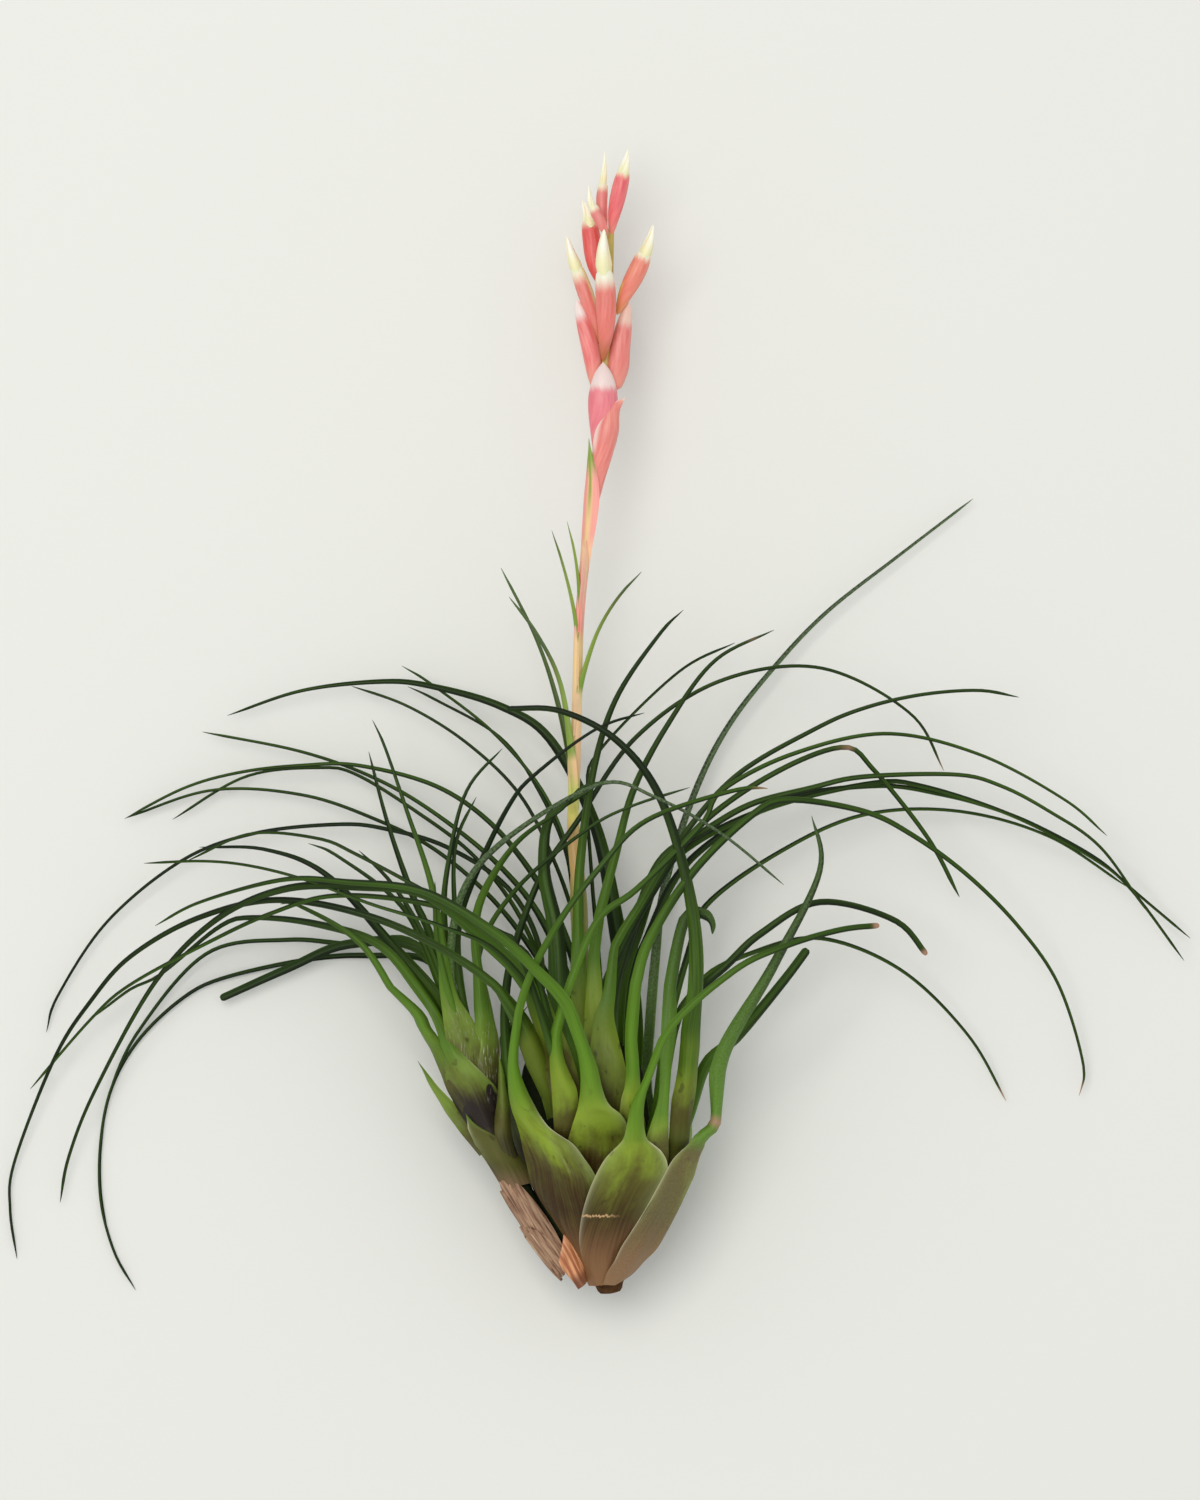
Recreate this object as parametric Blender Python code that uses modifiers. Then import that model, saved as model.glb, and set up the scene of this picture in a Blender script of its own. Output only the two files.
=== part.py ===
"""A small vriesea in bloom, lifted from its pot and laid down on a flat surface.

The origin is the middle of the flat spot under the main bulb, where the plant rests. +Z is up,
+Y runs along the plant from its foot to its flowers, and +X is to the right of the flower stem.
All measures below are in millimetres, and MM turns them into metres where the meshes are made.
"""
import math

import bmesh
import bpy
import numpy as np
from mathutils import Matrix, Vector

MM = 0.001
GAP = 0.3
BLADE_THICKNESS = 0.7
NARROWEST_BLADE = 0.9
ROW_SPACING = 12.0
SHEATH_ROWS = 6

# The main rosette: its axis runs from the foot to the heart, and its core is a turned body, given as
# (radius, distance from the foot), top first.
MAIN_AXIS = ((0.0, -32.0, 19.0), (-2.2, 28.0, 19.0))
MAIN_CORE = ((0.0, 62.0), (2.5, 58.0), (7.0, 48.0), (12.5, 38.0), (16.0, 28.0), (15.5, 20.0), (11.0, 12.0),
             (5.5, 5.0), (3.2, 1.5), (2.4, -0.5), (0.0, -1.0))

# The offset rosette: its core is a bent stalk that swells to a bulb, with the radius at each point.
OFFSET_AXIS = ((-10.4, -25.5, 17.5), (-32.5, 24.0, 19.5))
OFFSET_CORE = ((-6.2, -28.8, 18.2, 1.7), (-10.4, -24.4, 18.0, 2.0), (-16.8, -15.0, 17.8, 2.2),
               (-21.6, -6.0, 18.0, 2.7), (-26.0, 4.0, 18.4, 4.2), (-29.5, 14.0, 18.8, 5.6),
               (-31.6, 21.0, 19.0, 5.2), (-33.6, 28.0, 19.4, 3.0), (-34.6, 32.0, 19.6, 1.0))

# The flower stem: its route, with its radius at each point.
STEM_ROUTE = ((-1.5, -1.0, 19.5, 1.4), (-4.4, 14.3, 20.0, 1.4), (-6.6, 35.2, 21.0, 1.4), (-7.0, 53.9, 21.0, 1.35),
              (-8.2, 69.3, 21.0, 1.3), (-7.7, 84.7, 21.0, 1.2), (-7.3, 97.9, 21.0, 1.1),
              (-7.0, 111.1, 21.5, 1.05), (-6.4, 119.9, 22.0, 1.0), (-5.5, 128.7, 22.0, 1.0),
              (-4.0, 141.9, 22.5, 0.95), (-1.8, 152.9, 23.0, 0.9), (-1.1, 163.9, 23.0, 0.85),
              (-1.0, 172.7, 23.0, 0.8), (-0.2, 185.9, 23.0, 0.75), (0.2, 201.5, 23.2, 0.7))

# Each leaf: name, blade width where it leaves its sheath, width at the tip, widest width and length of
# the sheath, and the points that its middle line passes through, from its root in the core to its tip.
MAIN_LEAVES = (
    ("front_left", 2.3, 0.8, 15, 45,
     [(-4.5, -28.5, 21), (-9, -17.5, 27), (-13.5, -5.5, 31), (-20, 13, 33), (-21.5, 21, 35.5), (-18.5, 35, 44),
      (-11, 49.5, 51), (-2, 61.5, 53), (8, 71.5, 52), (27, 78, 47), (36, 78.5, 44)]),
    ("front_centre", 4, 0.5, 11.5, 45,
     [(-2, -27, 22), (-2, -15.5, 33), (-2.5, -3.5, 38), (-5, 16, 41), (-9, 30, 45), (-16, 38.5, 48), (-26, 47.5, 50),
      (-41, 56, 49), (-57.5, 58, 45), (-71.5, 58.5, 40), (-90, 53.5, 30), (-100.5, 48, 22)]),
    ("front_right", 1.7, 1.1, 14.5, 38,
     [(-1.5, -27.5, 22), (0.5, -15.5, 34), (7, 7.5, 41), (12.5, 25, 46), (27, 38.5, 47), (38.5, 44, 45),
      (50.5, 47.5, 42), (59.5, 48.5, 40)]),
    ("right_kinked", 2.4, 0.35, 12, 36,
     [(2, -27.5, 20), (14, -10, 29), (20.5, 3.5, 31), (23, 5.5, 32), (25, 20.5, 36), (36, 40, 40), (46, 60.5, 39),
      (44, 73.5, 39)]),
    ("folded", 2.9, 1.8, 6, 25,
     [(6, -10, 27), (10, -1, 33), (12, 14.5, 35), (13, 32, 34), (16.5, 50, 32), (22, 50, 33), (22.5, 45.5, 33)]),
    ("over_stem", 4, 1, 6, 25,
     [(9, -10, 24), (13.5, -1, 31), (16.5, 13, 35), (19, 35, 37), (17.5, 55, 37.5), (11, 76.5, 37.5), (1.5, 89, 38),
      (-11, 95.5, 37), (-23, 96, 35.5)]),
    ("mid_broad", 2.2, 1.4, 0, 0,
     [(-4.5, -7.5, 27), (-9, 16.5, 31), (-11, 32, 31), (-12, 47.5, 29), (-14.5, 60.5, 27.5), (-13, 72.5, 27.5),
      (-4.5, 78, 28)]),
    ("low_left_1", 3.3, 0.45, 0, 0,
     [(-1, -10, 16), (4, 13, 14), (4.5, 32, 15), (2, 45, 16), (-3, 69.5, 15.5), (-13, 89, 14), (-24, 96.5, 12),
      (-39.5, 101, 10), (-50.5, 102, 9), (-68, 100, 7), (-84.5, 94.5, 4)]),
    ("low_left_2", 1.3, 0.4, 13, 40,
     [(-0.5, -25.5, 15), (0, -12, 2.6), (0, 0, 0), (-0.5, 12, 1.8), (-2, 27.5, 5), (-6.5, 45, 9), (-11.5, 60.5, 12), (-19.5, 76.5, 11),
      (-31, 88, 9), (-44.5, 96.5, 7), (-58.5, 101.5, 5)]),
    ("low_left_3", 1.3, 0.35, 0, 0,
     [(-2, -7.5, 17), (-4, 25.5, 16), (-6.5, 47.5, 16), (-9, 63.5, 15), (-15, 78, 13), (-26, 91, 10.5),
      (-39.5, 101.5, 8.5), (-46, 105.5, 8)]),
    ("low_left_4", 0.9, 0.35, 0, 0,
     [(-2.5, -7.5, 14), (-4.5, 25.5, 12), (-7.5, 47.5, 11), (-9.5, 63.5, 10.5), (-15.5, 77.5, 10), (-24, 89.5, 9),
      (-38.5, 98, 7), (-46, 101.5, 6)]),
    ("low_left_5", 1.6, 0.4, 0, 0,
     [(-3, -7.5, 15), (-7.5, 29.5, 13), (-14.5, 48.5, 12), (-24, 61, 10.5), (-38, 72.5, 9), (-51.5, 80.5, 7.5),
      (-68, 86.5, 6), (-90.5, 91, 5)]),
    ("low_left_6", 1.7, 0.5, 0, 0,
     [(-2.5, -7.5, 18), (-5.5, 29.5, 17), (-10.5, 47.5, 16), (-16, 58, 14.5), (-26, 70.5, 12.5), (-38.5, 79, 11),
      (-55.5, 83.5, 10), (-68, 83.5, 9), (-81.5, 82, 7), (-94, 78.5, 5.5), (-108.5, 71, 4)]),
    ("low_left_7", 1.2, 0.4, 13, 40,
     [(-2, -25.5, 16), (-9.5, -10, 7), (-11, 13, 5), (-13, 32, 7), (-19.5, 49.5, 8.5), (-30, 63.5, 8), (-43, 73.5, 7),
      (-56, 81.5, 6), (-64, 83, 6), (-80.5, 81, 5), (-97.5, 71, 3)]),
    ("low_left_8", 1.1, 0.4, 0, 0,
     [(-5, -7.5, 15), (-9, 25.5, 11), (-14.5, 38.5, 10), (-25, 53, 8.5), (-38, 64.5, 7), (-51.5, 71.5, 6),
      (-68, 77, 5), (-88, 78, 4.5), (-108, 71.5, 3)]),
    ("low_left_9", 1.3, 0.4, 13, 40,
     [(-4, -25.5, 18), (-9.5, -20, 16), (-15.5, -10, 14), (-18.5, 1, 13), (-18, 13, 12.5), (-16, 27.5, 12.5),
      (-15.5, 43, 12.5), (-22.5, 56.5, 11.5), (-36, 65.5, 10), (-49.5, 69.5, 9), (-60, 70.5, 8), (-78.5, 68.5, 7),
      (-94.5, 62.5, 5.5), (-111, 49, 4), (-122, 32.5, 2.5), (-124.5, 24.5, 1.5)]),
    ("high_left_1", 4.4, 0.6, 6, 30,
     [(-2, -10, 24), (-7.5, 7.5, 29), (-13.5, 23, 34), (-17.5, 35, 38), (-30, 47.5, 43), (-41, 55.5, 44),
      (-55, 57, 42), (-71, 56.5, 37), (-86, 50, 29), (-100, 36, 19), (-113.5, 12, 9), (-119.5, -3, 5),
      (-121.5, -13.5, 3)]),
    ("high_left_2", 2.4, 0.5, 13, 40,
     [(-4, -25.5, 20), (-9.5, -20, 21), (-15, -10, 24), (-17.5, 1, 26), (-15.5, 18.5, 35), (-21.5, 31, 38),
      (-33, 41, 39), (-51.5, 50, 38), (-72.5, 54, 34), (-90.5, 50, 27), (-105.5, 41.5, 19), (-114.5, 31.5, 13),
      (-122.5, 19, 8), (-131.5, -4, 3), (-132.5, -14.5, 2), (-131, -25.5, 1)]),
    ("high_left_3", 1.6, 0.4, 0, 0,
     [(-3, -10, 27), (-11, 18.5, 34), (-17.5, 40.5, 38), (-24, 45, 40), (-37.5, 52.5, 41), (-59.5, 55, 38),
      (-74.5, 51, 33), (-89.5, 44, 26), (-106, 35, 17), (-114.5, 27.5, 12), (-128, 12, 5)]),
    ("high_left_4", 1.3, 0.4, 0, 0,
     [(-3.5, -10, 28), (-12, 18.5, 37), (-20, 43, 44), (-25, 47.5, 46), (-39.5, 55.5, 47), (-55.5, 64, 44),
      (-64, 67.5, 41), (-79, 68.5, 34), (-93, 62.5, 27)]),
    ("high_left_5", 0.9, 0.35, 0, 0,
     [(-3, -10, 27), (-13, 25.5, 36), (-24, 42, 42), (-37.5, 48.5, 43.5), (-52, 53, 42), (-67, 58.5, 39),
      (-79, 61.5, 36), (-89.5, 62.5, 32), (-102.5, 62, 27)]),
    ("centre_1", 2.2, 0.4, 0, 0,
     [(-2, -7.5, 24), (-5, 18.5, 27), (-7, 31, 28), (-7, 46, 27.5), (-6.5, 62.5, 27), (-3.5, 83, 27.5),
      (1.5, 98.5, 29), (11, 112.5, 31), (16.5, 118, 32)]),
    ("centre_2", 0.7, 0.35, 0, 0,
     [(-2, -7.5, 17), (-2, 32, 13), (-4, 58.5, 12), (-5, 78, 12), (-2.5, 86.5, 12), (15, 104, 11), (28.5, 111, 10)]),
    ("centre_3", 2.6, 0.4, 0, 0,
     [(-2, -7.5, 25), (-4.5, 21, 30), (-3.5, 44, 31), (1.5, 65, 30), (5.5, 79, 30), (13, 93, 31), (23, 106.5, 33),
      (36.5, 113.5, 34)]),
    ("long_arch", 1.7, 0.5, 0, 0,
     [(-4.5, -7.5, 22), (-20, 10, 22), (-23, 23, 23), (-22, 39.5, 24), (-15.5, 58.5, 25), (-7, 71.5, 26),
      (5.5, 89.5, 27), (24, 102, 28), (46, 105, 26), (66, 95, 21), (74, 81.5, 16)]),
    ("back_right", 2.6, 0.4, 13, 40,
     [(0.5, -25.5, 15), (5.5, -20, 11.5), (9, -10, 7), (10, 1, 5), (8.5, 13, 5.5), (9, 25, 7), (10, 40.5, 7.5),
      (12, 56.5, 6.5), (18.5, 77, 6), (26, 92, 5.5), (36.5, 105.5, 5), (48, 117.5, 5), (64, 130, 4), (81, 143, 3)]),
    ("right_1", 2, 0.6, 0, 0,
     [(0, -7.5, 24), (-3.5, 23, 30), (0.5, 42, 31), (6.5, 53, 31), (16, 68, 31), (28, 81.5, 31), (45, 91.5, 30),
      (55.5, 96, 29), (68, 99, 28), (81, 100, 26), (90, 98.5, 24)]),
    ("right_2", 1.6, 0.4, 7, 32,
     [(-6, -10, 29), (-9, 3.5, 36), (-10.5, 14.5, 38), (-11, 27.5, 39), (-7.5, 39.5, 39), (-2, 50.5, 38.5),
      (6, 56.5, 38), (20, 70.5, 37), (24.5, 78, 36), (40, 86, 34), (60.5, 90.5, 32), (81, 86, 27), (100, 76, 20),
      (109.5, 68, 16)]),
    ("right_3", 1.8, 0.8, 0, 0,
     [(0.5, -7.5, 23), (-1.5, 29, 27), (1.5, 41, 27), (9, 55, 27), (19.5, 70, 28), (35.5, 81.5, 30), (51, 87.5, 31),
      (58, 82.5, 27), (70, 67.5, 19), (77, 54.5, 14)]),
    ("right_4", 2.2, 0.5, 0, 0,
     [(2, -7.5, 20), (0.5, 29.5, 23), (5, 47.5, 24), (11, 62.5, 25), (20.5, 69, 26), (31, 75, 27), (44, 78.5, 28),
      (55.5, 81, 28), (76, 81.5, 26), (86, 79, 24), (96.5, 73.5, 21), (108, 65.5, 17), (118.5, 51, 12)]),
    ("right_5", 2, 0.4, 0, 0,
     [(2, -7.5, 19), (2, 29.5, 20), (6.5, 47.5, 20.5), (13.5, 62.5, 21), (33, 73.5, 22), (57, 79.5, 22.5),
      (68.5, 79, 22), (88.5, 72.5, 18.5), (106.5, 63, 14), (115, 56, 11), (127, 40, 7)]),
    ("right_6", 1.8, 0.4, 0, 0,
     [(2.5, -7.5, 16), (3.5, 29.5, 16), (8.5, 46, 16), (17.5, 62.5, 16), (37.5, 75.5, 17), (58.5, 79, 17),
      (73.5, 77, 16), (86, 73.5, 15), (96.5, 69, 13), (108, 62.5, 10.5), (116, 55.5, 8), (128.5, 45, 5)]),
    ("right_7", 1.3, 0.5, 0, 0,
     [(9, -7.5, 18), (12, 21, 15), (17.5, 43, 13), (21.5, 53, 12), (37.5, 64.5, 12), (55.5, 72.5, 11), (76, 73.5, 10),
      (96.5, 68, 8), (114.5, 56.5, 5.5)]),
    ("hooked", 2.4, 0.5, 5, 30,
     [(0.5, -10, 28), (4.5, 12, 38), (4.5, 25, 40), (6, 36.5, 41), (9, 46, 39.5), (18.5, 60.5, 37), (31, 72.5, 35),
      (39, 76, 34), (55.5, 73.5, 31), (66, 68.5, 27), (78.5, 59.5, 21), (90, 48, 15), (99, 35, 9), (104.5, 17.5, 4),
      (103.5, 10, 2.5)]),
    ("right_low", 1.4, 0.4, 13, 40,
     [(2, -25.5, 18), (9.5, -20, 16), (15, -10, 14), (17.5, 1, 13), (17.5, 13, 14), (17.5, 27.5, 18), (20.5, 36.5, 21),
      (30.5, 42, 22), (46, 45.5, 20), (64, 38.5, 13), (79, 24, 6), (88, 8.5, 1.5)]),
    ("right_cut", 1.6, 1.1, 0, 0,
     [(6.5, -7.5, 24), (11.5, 12, 28), (15.5, 29.5, 30), (26, 40, 31), (33, 46.5, 31), (46, 53.5, 30),
      (62.5, 49.5, 25), (70, 41.5, 21)]),
    ("right_stub", 1.9, 1.5, 0, 0,
     [(11, -7.5, 20), (17, 3.5, 24), (21, 17.5, 27), (28, 24, 28), (38, 36, 29), (44, 44, 29)]),
)

OFFSET_LEAVES = (
    ("outer_left_1", 2.6, 0.6, 9, 20,
     [(-24, 4.5, 20), (-29, 12, 23), (-44, 27.5, 25), (-54.5, 44, 27), (-68, 52.5, 26), (-73.5, 53, 25)]),
    ("outer_left_2", 2.6, 0.5, 0, 0,
     [(-26.5, 12, 17), (-34, 21, 17), (-38, 32, 17.5), (-48, 44, 18.5), (-62.5, 59.5, 18.5), (-76, 65, 16),
      (-90.5, 65.5, 14)]),
    ("outer_left_3", 1.9, 0.4, 0, 0,
     [(-26.5, 11, 19), (-39.5, 30, 20.5), (-50, 43.5, 21.5), (-64, 48.5, 21), (-78.5, 50, 19), (-86, 48, 17),
      (-99, 37.5, 12), (-106, 34, 10), (-114.5, 27.5, 8)]),
    ("inner_left_1", 1.3, 0.35, 0, 0,
     [(-27, 13, 18), (-32.5, 25.5, 19), (-40.5, 45, 20.5), (-48, 57.5, 21), (-56, 65.5, 20.5)]),
    ("inner_left_2", 1.2, 0.35, 0, 0,
     [(-27, 12, 16), (-33.5, 24, 15.5), (-37.5, 35, 15), (-45.5, 52, 15), (-60, 63.5, 14), (-67, 66.5, 13)]),
    ("upright_1", 2, 0.35, 8, 18,
     [(-24, 4.5, 19), (-31, 23, 23.5), (-36, 40.5, 23.5), (-39.5, 58, 24), (-44.5, 73, 24), (-49.5, 87.5, 23.5),
      (-52.5, 94, 23)]),
    ("upright_2", 1.8, 0.35, 0, 0,
     [(-27.5, 13, 18), (-33.5, 27.5, 18.5), (-39.5, 46, 19), (-43.5, 55, 19), (-49, 71, 19), (-53.5, 88, 18)]),
    ("upright_3", 1.4, 0.4, 0, 0,
     [(-27, 14.5, 20), (-34, 32, 20), (-36.5, 49.5, 20), (-35.5, 62.5, 20.5), (-31.5, 78, 21), (-23, 88, 21)]),
    ("upright_4", 1.2, 0.35, 0, 0,
     [(-27, 14.5, 18), (-32, 32, 18), (-34, 49.5, 18), (-34, 66, 18), (-29, 77.5, 18)]),
    ("upright_5", 1.2, 0.35, 0, 0,
     [(-28.5, 18.5, 20), (-34, 29.5, 24), (-38, 45, 25.5), (-38.5, 58.5, 26)]),
    ("across_1", 1.4, 0.4, 0, 0,
     [(-27, 14.5, 19), (-32, 32, 21), (-33.5, 47.5, 22.5), (-28.5, 62, 26), (-22, 75, 30), (-16.5, 81.5, 32),
      (-3, 91.5, 33.5), (9, 95.5, 32)]),
    ("across_2", 1.3, 0.4, 0, 0,
     [(-27.5, 15.5, 20), (-32, 25.5, 21.5), (-35, 40.5, 23), (-32, 56.5, 26), (-22, 68, 32), (-2, 79.5, 40.5),
      (10, 76.5, 42.5), (24.5, 68.5, 42.5), (38.5, 57, 39)]),
    ("across_3", 2.6, 0.4, 8, 18,
     [(-24, 4.5, 20), (-26.5, 21, 23.5), (-28.5, 36.5, 24), (-29, 52, 25.5), (-21, 66, 31), (-10.5, 74, 35),
      (-6.5, 78.5, 36), (0.5, 80.5, 36)]),
    ("across_4", 0.8, 0.35, 0, 0,
     [(-26.5, 14.5, 18), (-28.5, 25.5, 19), (-28.5, 43, 22), (-20, 57, 29), (-5, 69.5, 34), (4.5, 74.5, 35),
      (18.5, 79, 35)]),
    ("floor_left_1", 1.2, 0.5, 8, 20,
     [(-24, 4.5, 13), (-29, 13, 10), (-32.5, 24, 8.5), (-35, 35, 7.5), (-44.5, 45, 5), (-56.5, 44, 4), (-71, 45, 3.5),
      (-89, 42, 3), (-104, 25, 2), (-110.5, 11, 1.5), (-112.5, -0.5, 1), (-112.5, -11, 1), (-111, -19, 1)]),
    ("floor_left_2", 1, 0.4, 0, 0,
     [(-26.5, 11, 13), (-32.5, 23, 8), (-39, 39.5, 3.5), (-53.5, 41.5, 2), (-67.5, 40.5, 2), (-85.5, 36.5, 1.5),
      (-94.5, 32, 1.5), (-104, 23, 1), (-110, 12.5, 1), (-112.5, 0.5, 1), (-112.5, -12.5, 1), (-109.5, -24, 1),
      (-102.5, -36.5, 1)]),
    ("floor_left_3", 1.7, 1.4, 0, 0,
     [(-27, 13, 14), (-32.5, 27.5, 11), (-42, 43, 8.5), (-58, 44, 7), (-71.5, 38.5, 5), (-86, 32, 4)]),
    ("foot_scale_1", 2.2, 0.35, 4.5, 14,
     [(-23, -7.5, 17), (-28, -1.5, 18.5), (-36.5, 10.5, 20), (-42.5, 18.5, 19.5)]),
    ("foot_scale_2", 1.6, 0.35, 6.5, 12,
     [(-18.5, -14.5, 18), (-23, -5.5, 20.5), (-26.5, 0, 21.5), (-32, 7, 21)]),
    ("foot_scale_3", 1.2, 0.35, 3.5, 12,
     [(-20, -9, 19), (-22.5, -1, 22), (-24, 7.5, 23), (-24.5, 20.5, 23)]),
)

# The leafy bracts on the flower stem, in the same form: each clasps the stem, then leaves it.
STEM_BRACTS = (
    ("stem_bract_1", 1.2, 0.35, 3.2, 30,
     [(-6.4, 36, 21), (-7.0, 54, 20.6), (-7.8, 69, 20.2), (-8.8, 84, 20), (-12, 99, 20.5), (-16.5, 112, 21.5),
      (-24, 127, 22.5)]),
    ("stem_bract_2", 1.0, 0.35, 2.4, 14,
     [(-8.2, 74, 21.6), (-8.6, 84, 22.4), (-11, 101, 23.5), (-16, 112, 24.5), (-22.5, 121, 25)]),
    ("stem_bract_3", 1.2, 0.35, 2.4, 12,
     [(-7.4, 90, 21.4), (-6.6, 99, 21.8), (-4.6, 107, 22.5), (-2, 114, 23), (2, 120.5, 23.5), (7.3, 126.5, 24)]),
    ("stem_bract_4", 1.1, 0.35, 2.4, 14,
     [(-7.4, 100, 21.2), (-7.4, 111, 21.6), (-8.1, 118, 22), (-9.9, 126.5, 22.4), (-12.5, 134.5, 22.5)]),
    ("stem_bract_5", 1.1, 0.35, 2.3, 13,
     [(-7.0, 112, 22), (-6.8, 121, 22.6), (-7.6, 129.5, 23), (-9.2, 137, 23)]),
    ("stem_bract_6", 1.2, 0.35, 2.3, 14,
     [(-5.8, 124, 22.6), (-4.8, 134, 23.2), (-4.1, 142, 23.6), (-3.5, 149.5, 23.8)]),
    ("stem_bract_7", 1.1, 0.35, 2.3, 12,
     [(-5.4, 132, 22), (-5.0, 142, 22.6), (-4.5, 150, 23), (-4.7, 156.5, 23)]),
)

# The outline of a bract or of closed petals: (share of the length, share of the widest width).
SCALE_OUTLINE = ((0.0, 0.3), (0.2, 0.62), (0.45, 0.95), (0.65, 1.0), (0.86, 0.66), (1.0, 0.08))
POD_OUTLINE = ((0.0, 0.14), (0.15, 0.5), (0.38, 0.84), (0.62, 1.0), (0.85, 0.9), (1.0, 0.62))
PETAL_OUTLINE = ((0.0, 0.5), (0.2, 0.85), (0.45, 1.0), (0.65, 0.9), (0.85, 0.55), (1.0, 0.12))

# Each floral bract: its outline, its widest width, its depth, and its middle line from foot to mouth.
FLORAL_BRACTS = (
    ("floral_bract_1", SCALE_OUTLINE, 5.0, 4.4,
     [(-2.9, 137.1, 22.9), (-1.8, 146.3, 23.4), (-0.7, 155.1, 23.8), (0.4, 161.3, 24.2), (2.6, 163.9, 24.4)]),
    ("floral_bract_2", SCALE_OUTLINE, 6.4, 4.8,
     [(-2.6, 151.1, 22.6), (-1.8, 159.5, 23.2), (-1.5, 165.7, 23.6), (-1.5, 172.3, 24.0)]),
    ("floral_bract_3", SCALE_OUTLINE, 3.9, 3.4,
     [(-2.6, 167.2, 22.2), (-4.0, 172.3, 22.2), (-5.5, 178.2, 22.4), (-7.5, 186.1, 22.6)]),
    ("floral_bract_4", SCALE_OUTLINE, 4.0, 3.4,
     [(0.7, 166.5, 22.2), (2.0, 172.3, 22.3), (2.9, 178.2, 22.4), (4.0, 185.9, 22.6)]),
    ("floral_bract_5", POD_OUTLINE, 4.4, 3.6,
     [(-1.5, 172.3, 25.0), (-0.9, 179.3, 26.0), (-0.9, 185.9, 26.8), (-1.3, 192.5, 27.2)]),
    ("floral_bract_6", POD_OUTLINE, 3.2, 3.0,
     [(-2.2, 176.0, 22.6), (-3.1, 180.4, 22.6), (-5.5, 187.7, 22.9), (-7.5, 193.2, 23.0)]),
    ("floral_bract_7", POD_OUTLINE, 3.7, 3.3,
     [(1.5, 182.6, 23.2), (3.5, 187.4, 23.8), (5.9, 192.1, 24.3), (7.7, 196.2, 24.6)]),
    ("floral_bract_8", POD_OUTLINE, 3.9, 3.2,
     [(-0.5, 186.9, 22.2), (-3.1, 193.3, 20.8), (-4.0, 199.1, 20.1), (-4.6, 203.7, 19.8)]),
    ("floral_bract_9", POD_OUTLINE, 3.5, 3.2,
     [(0.2, 199.8, 23.4), (0.9, 204.6, 24.0), (2.0, 209.7, 24.6), (3.1, 214.3, 25.0)]),
    ("floral_bract_10", POD_OUTLINE, 2.5, 2.2,
     [(-0.9, 200.9, 22.2), (-1.8, 206.8, 21.6), (-1.5, 211.6, 21.4)]),
    ("floral_bract_11", POD_OUTLINE, 2.5, 2.2,
     [(-0.5, 199.2, 24.2), (-1.6, 202.1, 25.0), (-3.9, 206.6, 25.8)]),
)

# Each flower's closed petals stand out of a bract's mouth: the bract, their length, their width, and
# how far their tip leans to the side.
PETALS = (
    ("petals_1", "floral_bract_5", 14.7, 3.0, 0.8),
    ("petals_2", "floral_bract_6", 12.8, 2.1, 0.6),
    ("petals_3", "floral_bract_7", 12.0, 2.2, -1.0),
    ("petals_4", "floral_bract_8", 10.0, 2.4, -1.2),
    ("petals_5", "floral_bract_9", 10.5, 2.2, -0.2),
    ("petals_6", "floral_bract_10", 12.8, 1.1, -0.2),
    ("petals_7", "floral_bract_11", 10.0, 1.1, 2.0),
)
PETALS_HIDDEN = 5.5

# The dry papery sheaths round the offset's foot: the distances from the foot between which each one
# lies, the middle of its arc round the stalk in degrees from +Z, half the arc, and its radius.
DRY_SHEATHS = (
    ("dry_sheath_1", 3.5, 20.0, 40.0, 75.0, 3.0),
    ("dry_sheath_2", 4.5, 19.0, 195.0, 55.0, 3.0),
    ("dry_sheath_3", 3.0, 14.0, 60.0, 55.0, 4.0),
)
RUST_SCALE = ("rust_scale", 2.2, 1.2, 4.2, 12,
              [(-6.0, -30.0, 20.5), (-7.2, -27.0, 22.0), (-8.6, -23.0, 23.0), (-10.4, -19.2, 23.6)])

COLOURS = {
    "leaf_green": ("#3F5F26", 0.45),
    "coral_bract": ("#E5776F", 0.5),
    "cream_petal": ("#EFE6C4", 0.5),
    "peach_stem": ("#DDA468", 0.5),
    "dry_tan": ("#B79A7C", 0.8),
    "rust_brown": ("#B4632F", 0.7),
}


def clear_scene():
    for obj in list(bpy.data.objects):
        bpy.data.objects.remove(obj, do_unlink=True)


def new_collection(name):
    collection = bpy.data.collections.new(name)
    bpy.context.scene.collection.children.link(collection)
    return collection


def linear(hex_colour):
    """sRGB hex to linear red, green, blue and full opacity."""
    values = [int(hex_colour[i:i + 2], 16) / 255 for i in (1, 3, 5)]
    return [v / 12.92 if v <= 0.04045 else ((v + 0.055) / 1.055) ** 2.4 for v in values] + [1.0]


def make_material(name):
    hex_colour, roughness = COLOURS[name]
    material = bpy.data.materials.new(name)
    material.use_nodes = True
    shader = material.node_tree.nodes["Principled BSDF"]
    shader.inputs["Base Color"].default_value = linear(hex_colour)
    shader.inputs["Roughness"].default_value = roughness
    shader.inputs["Metallic"].default_value = 0.0
    material.diffuse_color = linear(hex_colour)
    return material


# Curves through points

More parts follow.
